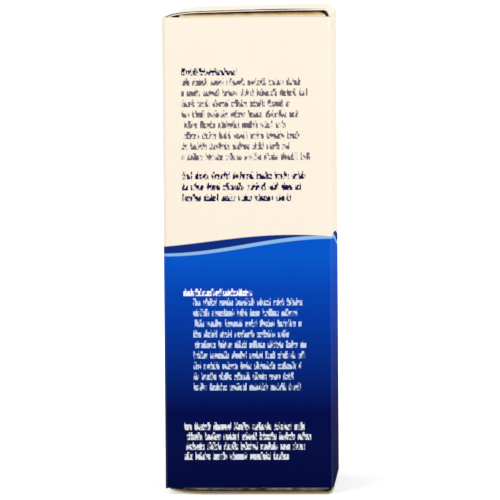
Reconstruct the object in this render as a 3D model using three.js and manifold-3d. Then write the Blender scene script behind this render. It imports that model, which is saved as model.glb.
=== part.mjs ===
// Folding carton of contact lens drops, closed over the squeeze bottle that it holds.
// Millimetres, +Z up. The origin is the middle of the footprint, on the surface that the carton stands on.
// The photographed side panel faces -Y. The front panel, which the tucks go behind, faces -X,
// and the back panel, which both closures hinge on, faces +X.
import * as THREE from "three";
import { mergeVertices } from "three/addons/utils/BufferGeometryUtils.js";
import Module from "manifold-3d";

const wasm = await Module();
wasm.setup();

// Carton: overall size and board
const cartonWidth = 33.3; // across a side panel, along X
const cartonDepth = 33.3; // across the front panel, along Y
const cartonHeight = 95.7; // over both closure panels, without the lift of the top one
const board = 0.45; // thickness of the paperboard
const creaseInnerRadius = 0.35; // inside of the upright creases
const creaseGap = 0.04; // slit left at a folding crease, where one body ends and the next begins

// Carton: glued seam at the corner of the left side and back panels
const seamSetback = 0.6; // from the corner to the cut edge of the side panel
const glueFilm = 0.1; // thickness of the adhesive
const glueFlapWidth = 11;
const glueFlapTrim = 3.2; // height of the slanted cut at each end of the glue flap
const glueFlapInset = 2.4; // from the end of the back panel to the glue flap
const glueMargin = 1.6; // bare rim of the flap around the adhesive

// Carton: closure panels
const closureRadius = 1.4; // outside of the roll at the hinge crease
const tuckRollLength = 8; // outside of the softer roll into the tuck, along the panel
const tuckRollHeight = 1.4;
const closureInset = 0.5; // from a side panel's face to the edge of the closure
const topLift = 0.35; // how far the top closure and its flaps spring up at the hinge
const frontEdgeDrop = 1.2; // from the closures' faces to the front panel's free edges

// Carton: tuck flaps
const tuckLength = 9.5;
const tuckGap = 0.3; // from the front panel to the tuck flap
const tuckInset = 0.9; // from the inside of a side panel to the edge of the tuck flap
const tuckCornerRadius = 5;
const tuckLean = THREE.MathUtils.degToRad(8); // how far the flap leans into the carton

// Carton: dust flaps
const dustInnerRadius = 0.15; // inside of the roll at the crease
const dustTipGap = 2.3; // between the tips of the two dust flaps of an end
const paperGap = 0.25; // air between a dust flap and the closure over it
const dustDroop = 0.18; // how far the closure's roll presses a dust flap down at the front panel
const dustHingeSetback = 2.1; // from the back panel's face to the flap
const dustTuckSetback = 3.5; // from the front panel's face to the flap
const dustReliefReach = 1.1; // how far the flap's root curves out towards the back panel
const dustHingeTaper = THREE.MathUtils.degToRad(26);
const dustTuckTaper = THREE.MathUtils.degToRad(9);
const dustCornerRadius = 1.6;
const shoulderDrop = 0.3; // rounded shoulder of the side panel beside the flap's crease

// Bottle: body
const bottleClearance = 0.38; // from the body to the nearest tuck flap or wall
const footClearance = 0.15; // from the bottle to the highest place of the flaps under it
const headroom = 13; // from the cap to the flaps above it
const bottleWall = 1;
const baseWall = 1.2;
const basePushUp = 0.8; // hollow under the base
const pushUpShares = [0.5, 0.75]; // a point of the hollow: its radius and rise, as shares of the full ones
const footRadius = 2.4; // rounded edge between base and body
const shoulderHeight = 7.5;
const fillShare = 0.95; // height of the liquid, as a share of the body's height
const liquidGap = 0.12; // from the liquid to the bottle

// Bottle: label
const labelThickness = 0.12;
const labelGap = 0.06; // film of adhesive under the label
const labelMargin = 4.5; // bare body above and below the label
const labelSeam = THREE.MathUtils.degToRad(8); // opening between the label's ends

// Bottle: neck
const neckRadius = 6.6;
const neckWall = 1.3;
const neckHeight = 13; // from the shoulder to the lip
const collarRise = 0.9; // from the shoulder to the collar
const collarThickness = 1;
const collarReach = 1.5; // how far the collar stands out of the neck
const beadThickness = 0.8;
const beadReach = 0.85;
const bandGap = 0.3; // running clearance above, below and inside the tamper band
const bandHeight = 2.4;
const bandLip = 0.9; // height of the lip that catches under the bead
const bridgeCount = 8;
const bridgeWidth = 0.8;
const bridgeHeight = 0.45; // gap between the band and the cap, which the bridges cross
const bridgeSlack = 0.05;

// Bottle: screw thread
const threadPitch = 2.7;
const threadTurns = 1.5;
const threadDepth = 0.75;
const threadRoot = 1; // thickness at the foot of the ridge
const threadCrest = 0.5; // thickness at its top
const threadClearance = 0.3; // from a ridge to the wall that it faces
const threadRise = 1.2; // from the cap's rim to the foot of the thread
const threadRunOut = 0.04; // depth of the thread at its two ends

// Bottle: dropper tip
const plugClearance = 0.05;
const plugDepth = 6;
const plugWall = 0.8;
const flangeThickness = 0.8;
const flangeReach = 0.9; // how far the flange covers the lip, from the neck's bore
const tipHeight = 9.2;
const tipBaseRadius = 4;
const tipRimRadius = 1.7;
const tipWall = 1;
const tipChamferHeight = 0.5;
const tipChamferWidth = 0.25;
const orificeRadius = 0.45;
const orificeLength = 3;

// Bottle: cap
const capWall = 1.1;
const capCeiling = 1.4;
const capRibs = 30;
const ribHeight = 0.35;
const ribShare = 0.5; // width of a rib, as a share of the spacing
const ribCrestShare = 0.6; // flat of a rib, as a share of its width
const ribFlankShare = 0.3; // slope beside a valley, as a share of half of it
const capRimPlain = 1; // smooth band at the top of the cap
const capSleeveWall = 1; // inner cone that the dropper tip stands in
const tipClearance = 0.35; // from the dropper tip to the inside of the cap
const sealThickness = 1.5;
const sealRadius = 2.5;
const sealClearance = 0.1;
const sealPinRadius = 0.3;
const sealPinLength = 0.8;

// Fineness of the round surfaces
const bottleSegments = 48;
const tipSegments = 32;
const threadSteps = 24; // per turn
const arcSteps = 3; // curve divisions of a small rounding
const overrun = 1; // how far a cut runs past what it cuts
const weldDistance = 1e-5; // corners nearer than this become one

// Places that follow from the sizes
const halfWidth = cartonWidth / 2;
const halfDepth = cartonDepth / 2;
const creaseRadius = creaseInnerRadius + board;
const dustRadius = dustInnerRadius + board;
const closureHinge = cartonHeight - closureRadius; // height of the top closure's crease
const dustTop = cartonHeight - board - paperGap; // upper face of the top dust flaps
const dustHinge = dustTop - dustRadius; // height of their creases
const tuckX = -(halfWidth - board - tuckGap); // outer face of the tuck flap at its crease
const tuckHinge = cartonHeight - tuckRollHeight;
const seamFace = halfDepth - board - glueFilm; // outer face of the glue flap, from the middle

const dustFlapLength = halfDepth - dustTipGap / 2;
const tuckReach = halfWidth + tuckX + board + tuckLength * Math.sin(tuckLean); // from the front panel's face

const bottleRadius = Math.min(halfWidth - tuckReach, halfDepth - board) - bottleClearance;
const bottleFoot = cartonHeight - (dustTop - board) + dustDroop + footClearance;
const capTop = dustTop - board - headroom;
const neckBore = neckRadius - neckWall;
const bandBottom = collarRise + collarThickness + bandGap; // heights here are from the shoulder
const beadBottom = bandBottom + bandLip + bandGap;
const bandTop = bandBottom + bandHeight;
const capRim = bandTop + bridgeHeight;
const flangeTop = neckHeight + flangeThickness;
const tipTop = flangeTop + tipHeight;
const sealBottom = tipTop + sealClearance;
const capHeightOverShoulder = sealBottom + sealThickness + capCeiling;
const shoulderTop = capTop - capHeightOverShoulder;
const bodyTop = shoulderTop - shoulderHeight;
const threadFoot = capRim + threadRise;
const beadRadius = neckRadius + beadReach;
const collarRadius = neckRadius + collarReach;
const capBore = neckRadius + threadDepth + threadClearance;
const capRadius = Math.max(capBore, beadRadius + bandGap) + capWall;

function material(color, roughness, opacity = 1) {
  const transparent = opacity < 1;
  return new THREE.MeshStandardMaterial({ color, roughness, metalness: 0, opacity, transparent });
}

const materials = {
  printedBoard: material(0xfff2e1, 0.35),
  bareBoard: material(0xf4efe6, 0.8),
  adhesive: material(0xe9dfc4, 0.5),
  squeezePlastic: material(0xf3f4f2, 0.45, 0.75),
  capPlastic: material(0x1f56b4, 0.35),
  label: material(0xfafafa, 0.5),
  liquid: material(0xe6f1f5, 0.05, 0.4),
};

// Turns a closed geometry into a solid that can be joined and cut.
function solidOf(geometry) {
  const bare = geometry.clone();
  bare.deleteAttribute("normal");
  bare.deleteAttribute("uv");
  const merged = mergeVertices(bare, weldDistance);
  return new wasm.Manifold(
    new wasm.Mesh({
      numProp: 3,
      vertProperties: merged.attributes.position.array,
      triVerts: new Uint32Array(merged.index.array),
    }),
  );
}

// Turns a solid back into a geometry.
function geometryOf(solid) {
  const { vertProperties, triVerts } = solid.getMesh();
  const geometry = new THREE.BufferGeometry();
  geometry.setAttribute("position", new THREE.BufferAttribute(vertProperties, 3));
  geometry.setIndex(new THREE.BufferAttribute(triVerts, 1));
  geometry.computeVertexNormals();
  return geometry;
}

function piece(name, solid, finish) {
  const mesh = new THREE.Mesh(geometryOf(solid), finish);
  mesh.name = name;
  return mesh;
}

function extrude(shape, depth) {
  return new THREE.ExtrudeGeometry(shape, { depth, bevelEnabled: false, curveSegments: arcSteps });
}

// A prism whose outline lies in XY.
function prismZ(shape, low, high) {
  return solidOf(extrude(shape, high - low).translate(0, 0, low));
}

// A prism whose outline lies in XZ.
function prismY(shape, low, high) {
  return solidOf(extrude(shape, high - low).rotateX(Math.PI / 2).translate(0, high, 0));
}

// A prism whose outline lies in YZ.
function prismX(shape, low, high) {
  const axes = new THREE.Matrix4().makeBasis(
    new THREE.Vector3(0, 1, 0),
    new THREE.Vector3(0, 0, 1),
    new THREE.Vector3(1, 0, 0),
  );
  return solidOf(extrude(shape, high - low).applyMatrix4(axes).translate(low, 0, 0));
}

// A turned solid from [radius, height] points, standing on Z.
function turned(points, segments) {
  const outline = points.map(([radius, height]) => new THREE.Vector2(radius, height));
  return solidOf(new THREE.LatheGeometry(outline, segments).rotateX(Math.PI / 2));
}

// Points of a quarter ellipse from one end to the other, both given from its centre.
function quarter(centre, from, to, steps) {
  const points = [];
  for (let i = 0; i <= steps; i += 1) {
    const turn = (Math.PI / 2) * (i / steps);
    const a = Math.cos(turn);
    const b = Math.sin(turn);
    points.push([centre[0] + from[0] * a + to[0] * b, centre[1] + from[1] * a + to[1] * b]);
  }
  return points;
}

function polygon(points) {
  return new THREE.Shape(points.map(([x, y]) => new THREE.Vector2(x, y)));
}

// Section of an upright panel whose outer face is the line y = -offset. It ends at a cut edge,
// or in half of a rounded crease, which the neighbouring panel completes.
function panelSection(offset, left, right) {
  const shape = new THREE.Shape();
  const half = Math.PI / 4;
  const inner = -offset + board;
  const centreY = -offset + creaseRadius;
  const down = -Math.PI / 2;
  if (right.creased) {
    const centreX = right.x - creaseRadius;
    shape.moveTo(centreX, -offset);
    shape.absarc(centreX, centreY, creaseRadius, down, down + half, false);
    shape.absarc(centreX, centreY, creaseInnerRadius, down + half, down, true);
  } else {
    shape.moveTo(right.x, -offset);
    shape.lineTo(right.x, inner);
  }
  if (left.creased) {
    const centreX = left.x + creaseRadius;
    shape.lineTo(centreX, inner);
    shape.absarc(centreX, centreY, creaseInnerRadius, down, down - half, true);
    shape.absarc(centreX, centreY, creaseRadius, down - half, down, false);
  } else {
    shape.lineTo(left.x, inner);
    shape.lineTo(left.x, -offset);
  }
  shape.closePath();
  return shape;
}

// Outline, in XZ, of a side panel. Its dust flaps' creases stop short of the back panel,
// and a rounded shoulder runs down from each to the corner. backSign is the way to the back panel.
function sidePanelOutline(backSign) {
  const creaseEnd = halfWidth - dustHingeSetback + dustReliefReach;
  const shoulder = [halfWidth - creaseEnd, shoulderDrop];
  const top = dustHinge - creaseGap;
  const bottom = cartonHeight - top;
  const upper = quarter([creaseEnd, top - shoulder[1]], [0, shoulder[1]], [shoulder[0], 0], arcSteps * 2);
  const lower = upper.map(([x, z]) => [x, top + bottom - z]).reverse();
  const points = [...upper, [halfWidth + overrun, top - shoulder[1]]];
  points.push([halfWidth + overrun, bottom + shoulder[1]], ...lower);
  points.push([-halfWidth - overrun, bottom], [-halfWidth - overrun, top]);
  return polygon(points.map(([x, z]) => [x * backSign, z]));
}

function panel(name, section, outline, finish) {
  const upright = prismZ(section, -overrun, cartonHeight + overrun);
  const reach = Math.max(cartonWidth, cartonDepth);
  return piece(name, upright.intersect(prismY(outline, -reach, reach)), finish);
}

function rectangle(left, right, low, high) {
  return polygon([[left, low], [right, low], [right, high], [left, high]]);
}

// The four walls and the glued seam that closes the sleeve.
function makeSleeve() {
  const sleeve = new THREE.Group();
  const wide = cartonWidth + cartonDepth;
  const rightSection = panelSection(
    halfDepth,
    { x: -halfWidth, creased: true },
    { x: halfWidth, creased: true },
  );
  const right = panel("right_side_panel", rightSection, sidePanelOutline(1), materials.printedBoard);

  const leftSection = panelSection(
    halfDepth,
    { x: seamSetback - halfWidth, creased: false },
    { x: halfWidth, creased: true },
  );
  const left = panel("left_side_panel", leftSection, sidePanelOutline(-1), materials.printedBoard);
  left.rotation.z = Math.PI;

  const frontSection = panelSection(
    halfWidth,
    { x: -halfDepth, creased: true },
    { x: halfDepth, creased: true },
  );
  const frontOutline = rectangle(-wide, wide, frontEdgeDrop, cartonHeight - frontEdgeDrop);
  const front = panel("front_panel", frontSection, frontOutline, materials.printedBoard);
  front.rotation.z = -Math.PI / 2;

  const backSection = panelSection(
    halfWidth,
    { x: -halfDepth, creased: true },
    { x: seamFace, creased: true },
  );
  const backTop = closureHinge - creaseGap;
  const backOutline = rectangle(-wide, wide, cartonHeight - backTop, backTop);
  const back = panel("back_panel", backSection, backOutline, materials.printedBoard);
  back.rotation.z = Math.PI / 2;

  sleeve.add(right, left, front, back, makeGlueFlap(backTop), makeGlueFilm(backTop));
  return sleeve;
}

// Outline of the glue flap in XZ, shrunk by a margin. It is drawn from the crease at -X
// and stands on the left side panel once it is turned round.
function glueOutline(backTop, margin, creaseX) {
  const free = creaseRadius + glueFlapWidth - halfWidth - margin;
  const top = backTop - glueFlapInset - margin;
  const bottom = cartonHeight - top;
  return polygon([
    [creaseX, top],
    [creaseX, bottom],
    [free, bottom + glueFlapTrim],
    [free, top - glueFlapTrim],
  ]);
}

function makeGlueFlap(backTop) {
  const free = creaseRadius + glueFlapWidth - halfWidth;
  const section = panelSection(seamFace, { x: -halfWidth, creased: true }, { x: free, creased: false });
  const outline = glueOutline(backTop, 0, -halfWidth - overrun);
  const flap = panel("glue_flap", section, outline, materials.bareBoard);
  flap.rotation.z = Math.PI;
  return flap;
}

function makeGlueFilm(backTop) {
  const creaseX = Math.max(seamSetback, creaseRadius) + glueMargin - halfWidth;
  const outline = glueOutline(backTop, glueMargin, creaseX);
  const film = piece("seam_adhesive", prismY(outline, -halfDepth + board, -seamFace), materials.adhesive);
  film.rotation.z = Math.PI;
  return film;
}

// A closure panel: it rolls over from the hinge crease, where it springs up by the lift,
// comes down in a slight curve and rolls into the tuck.
function closurePanel(name, lift) {
  const hingeX = halfWidth - closureRadius;
  const rollX = tuckX + tuckRollLength;
  const innerRadius = closureRadius - board;
  const steps = 16;
  const roll = arcSteps * 2;
  const outer = quarter([hingeX, closureHinge], [closureRadius, 0], [0, closureRadius + lift], roll);
  const inner = quarter([hingeX, closureHinge], [innerRadius, 0], [0, innerRadius + lift], roll);
  for (let i = 1; i < steps; i += 1) {
    const share = 1 - i / steps;
    const x = rollX + (hingeX - rollX) * share;
    const z = cartonHeight + lift * (1 - (1 - share) ** 2);
    outer.push([x, z]);
    inner.push([x, z - board]);
  }
  outer.push(...quarter([rollX, tuckHinge], [0, tuckRollHeight], [-tuckRollLength, 0], roll));
  inner.push(
    ...quarter([rollX, tuckHinge], [0, tuckRollHeight - board], [board - tuckRollLength, 0], roll),
  );
  const edge = halfDepth - closureInset;
  const profile = polygon([...outer, ...inner.reverse()]);
  return piece(name, prismY(profile, -edge, edge), materials.printedBoard);
}

// A tuck flap, hung on the inner face of the closure's tuck crease and leaning into the carton.
function tuckFlap(name) {
  const half = halfDepth - board - tuckInset;
  const top = -creaseGap;
  const corner = Math.min(tuckCornerRadius, tuckLength / 2, half / 2);
  const shape = new THREE.Shape();
  shape.moveTo(-half, top);
  shape.lineTo(-half, -tuckLength + corner);
  shape.absarc(-half + corner, -tuckLength + corner, corner, Math.PI, Math.PI * 1.5, false);
  shape.absarc(half - corner, -tuckLength + corner, corner, -Math.PI / 2, 0, false);
  shape.lineTo(half, top);
  shape.closePath();
  const flap = piece(name, prismX(shape, -board, 0), materials.printedBoard);
  flap.position.set(tuckX + board, 0, tuckHinge);
  flap.rotation.y = -tuckLean;
  return flap;
}

// A dust flap on the side panel at -Y, which droops at the front panel and springs up by the lift
// at the back one. backSign is the way to the back panel.
function dustFlap(name, backSign, lift) {
  const centre = [-halfDepth + dustRadius, dustHinge];
  const tip = -halfDepth + dustFlapLength;
  const outer = quarter(centre, [-dustRadius, 0], [0, dustRadius], arcSteps);
  const inner = quarter(centre, [-dustInnerRadius, 0], [0, dustInnerRadius], arcSteps).reverse();
  const profile = polygon([...outer, [tip, dustTop], [tip, dustTop - board], ...inner]);
  const bent = prismX(profile, -halfWidth, halfWidth);

  const hingeX = (halfWidth - dustHingeSetback) * backSign;
  const tuckEdgeX = -(halfWidth - dustTuckSetback) * backSign;
  const hingeTipX = hingeX - (dustFlapLength - dustRadius) * Math.tan(dustHingeTaper) * backSign;
  const tuckTipX = tuckEdgeX + dustFlapLength * Math.tan(dustTuckTaper) * backSign;
  const soft = Math.min(dustCornerRadius, dustFlapLength / 4);
  const plan = new THREE.Shape();
  const rootX = hingeX + dustReliefReach * backSign;
  plan.moveTo(rootX, -halfDepth - overrun);
  plan.lineTo(rootX, -halfDepth);
  plan.quadraticCurveTo(hingeX, -halfDepth, hingeX, -halfDepth + dustRadius);
  plan.lineTo(hingeTipX + soft * Math.tan(dustHingeTaper) * backSign, tip - soft);
  plan.quadraticCurveTo(hingeTipX, tip, hingeTipX - soft * backSign, tip);
  plan.lineTo(tuckTipX + soft * backSign, tip);
  plan.quadraticCurveTo(tuckTipX, tip, tuckTipX - soft * Math.tan(dustTuckTaper) * backSign, tip - soft);
  plan.lineTo(tuckEdgeX, -halfDepth);
  plan.lineTo(tuckEdgeX, -halfDepth - overrun);
  plan.closePath();
  const cutter = prismZ(plan, dustHinge - overrun, dustTop + overrun);
  const tilted = bent.intersect(cutter).warp((point) => {
    const across = (halfWidth + point[0] * backSign) / cartonWidth;
    const turn = Math.atan2(point[2] - dustHinge, Math.max(0, centre[0] - point[1]));
    point[2] += (lift * across - dustDroop * (1 - across)) * Math.sin(turn);
  });
  return piece(name, tilted, materials.printedBoard);
}

// One end of the carton as it lies at the top: two dust flaps, the closure over them and its tuck.
function makeEnd(end, lift, nearSide, farSide) {
  const group = new THREE.Group();
  const near = dustFlap(`${end}_dust_flap_${nearSide}`, 1, lift);
  const far = dustFlap(`${end}_dust_flap_${farSide}`, -1, lift);
  far.rotation.z = Math.PI;
  group.add(near, far, closurePanel(`${end}_closure_panel`, lift), tuckFlap(`${end}_tuck_flap`));
  return group;
}

// A helical ridge on a wall: it stands out of the wall when outward is 1 and into the bore when -1.
// Its ends run out into the wall.
function threadRidge(wallRadius, outward, foot) {
  const steps = Math.round(threadTurns * threadSteps);
  const rootRadius = wallRadius - outward * (threadDepth / 2);
  const points = [];
  for (let i = 0; i <= steps; i += 1) {
    const angle = (i / threadSteps) * 2 * Math.PI;
    const fade = Math.min(1, (2 * Math.min(i, steps - i)) / threadSteps);
    const height = threadRunOut + (threadDepth - threadRunOut) * fade;
    const crestRadius = wallRadius + outward * height;
    const z = foot + (threadPitch * i) / threadSteps;
    const corners = [
      [rootRadius, -threadRoot / 2],
      [crestRadius, -threadCrest / 2],
      [crestRadius, threadCrest / 2],
      [rootRadius, threadRoot / 2],
    ];
    for (const [radius, rise] of corners) {
      points.push(radius * Math.cos(angle), radius * Math.sin(angle), z + rise);
    }
  }
  const faces = [];
  const quad = (a, b, c, d) => faces.push(a, b, c, a, c, d);
  const around = 4;
  for (let i = 0; i < steps; i += 1) {
    const here = i * around;
    for (let k = 0; k < around; k += 1) {
      const next = (k + 1) % around;
      quad(here + k, here + next, here + around + next, here + around + k);
    }
  }
  const last = steps * around;
  quad(0, 3, 2, 1);
  quad(last, last + 1, last + 2, last + 3);
  if (outward > 0) faces.reverse();
  const geometry = new THREE.BufferGeometry();
  geometry.setAttribute("position", new THREE.Float32BufferAttribute(points, 3));
  geometry.setIndex(faces);
  return solidOf(geometry);
}

// The squeeze bottle, with its collar, tamper bead and thread.
function makeBottleBody() {
  const inside = bottleRadius - bottleWall;
  const innerFoot = Math.max(footRadius - bottleWall, bottleWall / 2);
  const roundSteps = 5;
  const outer = [
    [0, bottleFoot + basePushUp],
    [bottleRadius * pushUpShares[0], bottleFoot + basePushUp * pushUpShares[1]],
    ...quarter(
      [bottleRadius - footRadius, bottleFoot + footRadius],
      [0, -footRadius],
      [footRadius, 0],
      roundSteps,
    ),
    ...quarter([neckRadius, bodyTop], [bottleRadius - neckRadius, 0], [0, shoulderHeight], roundSteps + 2),
    [neckRadius, shoulderTop + collarRise],
    [collarRadius, shoulderTop + collarRise],
    [collarRadius, shoulderTop + collarRise + collarThickness],
    [neckRadius, shoulderTop + collarRise + collarThickness],
    [neckRadius, shoulderTop + beadBottom],
    [beadRadius, shoulderTop + beadBottom],
    [neckRadius, shoulderTop + beadBottom + beadThickness],
    [neckRadius, shoulderTop + neckHeight],
  ];
  const floor = bottleFoot + basePushUp + baseWall;
  const inner = [
    [neckBore, shoulderTop + neckHeight],
    ...quarter(
      [neckBore, bodyTop],
      [0, shoulderHeight - bottleWall],
      [inside - neckBore, 0],
      roundSteps + 2,
    ),
    ...quarter([inside - innerFoot, floor + innerFoot], [innerFoot, 0], [0, -innerFoot], roundSteps - 2),
    [0, floor],
  ];
  const blank = turned([...outer, ...inner], bottleSegments);
  const thread = threadRidge(neckRadius, 1, shoulderTop + threadFoot);
  return piece("bottle_body", blank.add(thread), materials.squeezePlastic);
}

// The drops, filling the body to just under its shoulder.
function makeSolution() {
  const radius = bottleRadius - bottleWall - liquidGap;
  const floor = bottleFoot + basePushUp + baseWall + liquidGap;
  const level = floor + (bodyTop - floor) * fillShare;
  const round = Math.max(footRadius - bottleWall, bottleWall / 2);
  const foot = quarter([radius - round, floor + round], [0, -round], [round, 0], arcSteps);
  const points = [[0, floor], ...foot, [radius, level], [0, level]];
  return piece("lens_drops_liquid", turned(points, bottleSegments), materials.liquid);
}

function makeLabel() {
  const inner = bottleRadius + labelGap;
  const outer = inner + labelThickness;
  const steps = bottleSegments;
  const start = labelSeam / 2;
  const sweep = 2 * Math.PI - labelSeam;
  const ring = (radius) =>
    Array.from({ length: steps + 1 }, (_, i) => {
      const angle = start + (sweep * i) / steps;
      return [radius * Math.cos(angle), radius * Math.sin(angle)];
    });
  const low = bottleFoot + footRadius + labelMargin;
  const high = bodyTop - labelMargin;
  const sleeve = prismZ(polygon([...ring(outer), ...ring(inner).reverse()]), low, high);
  return piece("bottle_label", sleeve, materials.label);
}

// The dropper tip: a plug in the neck, a flange on the lip and a cone with the orifice.
function makeDropperTip() {
  const lip = shoulderTop + neckHeight;
  const top = shoulderTop + tipTop;
  const plug = neckBore - plugClearance;
  const points = [
    [orificeRadius, top],
    [orificeRadius, top - orificeLength],
    [tipBaseRadius - tipWall, lip],
    [plug - plugWall, lip - flangeThickness],
    [plug - plugWall, lip - plugDepth],
    [plug, lip - plugDepth],
    [plug, lip],
    [neckBore + flangeReach, lip],
    [neckBore + flangeReach, lip + flangeThickness],
    [tipBaseRadius, lip + flangeThickness],
    [tipRimRadius, top - tipChamferHeight],
    [tipRimRadius - tipChamferWidth, top],
    [orificeRadius, top],
  ];
  return piece("dropper_tip", turned(points, tipSegments), materials.squeezePlastic);
}

// The band that stays on the neck when the cap is first opened, with the bridges that break.
function makeTamperBand() {
  const low = shoulderTop + bandBottom;
  const high = shoulderTop + bandTop;
  const wide = beadRadius + bandGap;
  const narrow = neckRadius + bandGap;
  const lipTop = low + bandLip;
  const points = [
    [narrow, low],
    [capRadius, low],
    [capRadius, high],
    [wide, high],
    [wide, lipTop + bandGap / 2],
    [narrow, lipTop],
    [narrow, low],
  ];
  let band = turned(points, bottleSegments);
  for (let i = 0; i < bridgeCount; i += 1) {
    const middle = (capRadius + Math.max(wide, capBore)) / 2;
    const length = (capRadius - Math.max(wide, capBore)) / 2;
    const top = high + bridgeHeight - bridgeSlack;
    const bridge = new THREE.BoxGeometry(length, bridgeWidth, top - high + bandGap);
    bridge.translate(middle, 0, (top + high - bandGap) / 2);
    bridge.rotateZ((2 * Math.PI * (i + 0.5)) / bridgeCount);
    band = band.add(solidOf(bridge));
  }
  return piece("tamper_band", band, materials.capPlastic);
}

// Outline of the cap's ribbed grip.
function gripOutline() {
  const points = [];
  const spacing = (2 * Math.PI) / capRibs;
  for (let i = 0; i < capRibs; i += 1) {
    const middle = i * spacing;
    const rib = (spacing * ribShare) / 2;
    const valley = (spacing * (1 - ribShare)) / 2;
    const corners = [
      [capRadius, middle - rib * ribCrestShare],
      [capRadius, middle + rib * ribCrestShare],
      [capRadius - ribHeight, middle + rib + valley * ribFlankShare],
      [capRadius - ribHeight, middle + spacing - rib - valley * ribFlankShare],
    ];
    for (const [radius, angle] of corners) {
      points.push([radius * Math.cos(angle), radius * Math.sin(angle)]);
    }
  }
  return polygon(points);
}

// The screw cap: ribbed outside, threaded inside, with a socket for the seal over the tip.
function makeCap() {
  const rim = shoulderTop + capRim;
  const edge = capWall / 2;
  const grip = prismZ(gripOutline(), rim, capTop - capRimPlain);
  const crown = turned(
    [
      [0, capTop - capRimPlain - edge],
      [capRadius, capTop - capRimPlain - edge],
      [capRadius, capTop - edge],
      [capRadius - edge, capTop],
      [0, capTop],
    ],
    bottleSegments,
  );
  const shoulderOfBore = shoulderTop + flangeTop + tipClearance;
  const coneTop = shoulderTop + tipTop - tipChamferHeight;
  const socket = sealRadius + sealClearance;
  const cavity = turned(
    [
      [0, rim - overrun],
      [capBore, rim - overrun],
      [capBore, shoulderOfBore],
      [tipBaseRadius + tipClearance, shoulderOfBore],
      [Math.max(tipRimRadius + tipClearance, socket), coneTop],
      [socket, coneTop],
      [socket, capTop - capCeiling],
      [0, capTop - capCeiling],
    ],
    bottleSegments,
  );
  const hollow = turned(
    [
      [tipBaseRadius + tipClearance + capSleeveWall, shoulderOfBore - overrun],
      [capBore, shoulderOfBore - overrun],
      [capBore, capTop - capRimPlain - capCeiling],
      [socket + capSleeveWall, capTop - capRimPlain - capCeiling],
      [socket + capSleeveWall, coneTop],
      [tipBaseRadius + tipClearance + capSleeveWall, shoulderOfBore],
      [tipBaseRadius + tipClearance + capSleeveWall, shoulderOfBore - overrun],
    ],
    bottleSegments,
  );
  const thread = threadRidge(capBore, -1, shoulderTop + threadFoot + threadPitch / 2);
  const cap = grip.add(crown).subtract(cavity).subtract(hollow).add(thread);
  return piece("screw_cap", cap, materials.capPlastic);
}

// The soft seal in the cap's ceiling, whose pin closes the orifice.
function makeCapSeal() {
  const low = shoulderTop + sealBottom;
  const high = capTop - capCeiling - sealClearance;
  const points = [
    [0, low - sealPinLength],
    [sealPinRadius, low - sealPinLength],
    [sealPinRadius, low],
    [sealRadius, low],
    [sealRadius, high],
    [0, high],
  ];
  return piece("cap_seal", turned(points, tipSegments), materials.squeezePlastic);
}

function makeBottle() {
  const bottle = new THREE.Group();
  bottle.add(makeBottleBody(), makeSolution(), makeLabel(), makeDropperTip());
  bottle.add(makeTamperBand(), makeCapSeal(), makeCap());
  return bottle;
}

const topEnd = makeEnd("top", topLift, "right", "left");
const bottomEnd = makeEnd("bottom", 0, "left", "right");
bottomEnd.rotation.x = Math.PI;
bottomEnd.position.z = cartonHeight;

const part = new THREE.Group();
part.add(makeSleeve(), topEnd, bottomEnd, makeBottle());
export default part;
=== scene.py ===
"""Looks of a tall folding carton of contact lens drops and of the squeeze bottle in it.

Every length is in millimetres until a mesh is made, where it becomes metres.
The right side panel faces -Y, the front panel -X and the back panel, which both closures hinge on, +X.
"""

from __future__ import annotations

import logging
import math
from collections.abc import Callable
from dataclasses import dataclass, fields
from enum import Enum

import bmesh
import bpy
from mathutils import Matrix, Vector

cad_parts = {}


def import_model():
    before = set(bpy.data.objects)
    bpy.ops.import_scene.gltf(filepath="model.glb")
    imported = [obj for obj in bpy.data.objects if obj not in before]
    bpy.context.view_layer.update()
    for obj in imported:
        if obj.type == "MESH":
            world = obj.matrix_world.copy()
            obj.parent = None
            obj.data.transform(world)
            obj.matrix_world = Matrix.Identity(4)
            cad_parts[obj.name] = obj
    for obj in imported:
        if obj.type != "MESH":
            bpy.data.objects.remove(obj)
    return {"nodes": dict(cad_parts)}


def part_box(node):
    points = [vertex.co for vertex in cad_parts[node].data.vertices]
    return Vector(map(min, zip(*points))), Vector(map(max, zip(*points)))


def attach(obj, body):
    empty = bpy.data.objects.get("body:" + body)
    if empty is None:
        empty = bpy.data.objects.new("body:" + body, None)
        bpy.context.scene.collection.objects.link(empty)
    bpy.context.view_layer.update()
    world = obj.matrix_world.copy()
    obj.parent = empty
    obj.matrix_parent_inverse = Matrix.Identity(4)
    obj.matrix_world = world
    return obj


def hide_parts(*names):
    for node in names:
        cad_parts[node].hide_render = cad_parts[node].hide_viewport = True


LOG = logging.getLogger("carton")
MM = 0.001
QUARTER = math.pi / 2
WHITE = (1.0, 1.0, 1.0, 1.0)

# The two maps of a sheet
PRINT = "print"
CUT = "cut"

# Types of the nodes that are used most
MATH = "ShaderNodeMath"
RANGE = "ShaderNodeMapRange"
MIX = "ShaderNodeMix"
NOISE = "ShaderNodeTexNoise"
RAMP = "ShaderNodeValToRGB"
BUMP = "ShaderNodeBump"
COORDINATE = "ShaderNodeTexCoord"
COMBINE = "ShaderNodeCombineXYZ"
SEPARATE = "ShaderNodeSeparateXYZ"
PRINCIPLED = "ShaderNodeBsdfPrincipled"
OUTPUT = "ShaderNodeOutputMaterial"

Point = tuple[float, float]
Place = tuple[float, float, float]
Stops = tuple[tuple[float, str], ...]
Inputs = dict[int | str, object]
Material = bpy.types.Material
Node = bpy.types.Node
Object = bpy.types.Object
Socket = bpy.types.NodeSocket
Tree = bpy.types.NodeTree
Mesh = bmesh.types.BMesh
Vert = bmesh.types.BMVert


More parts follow.
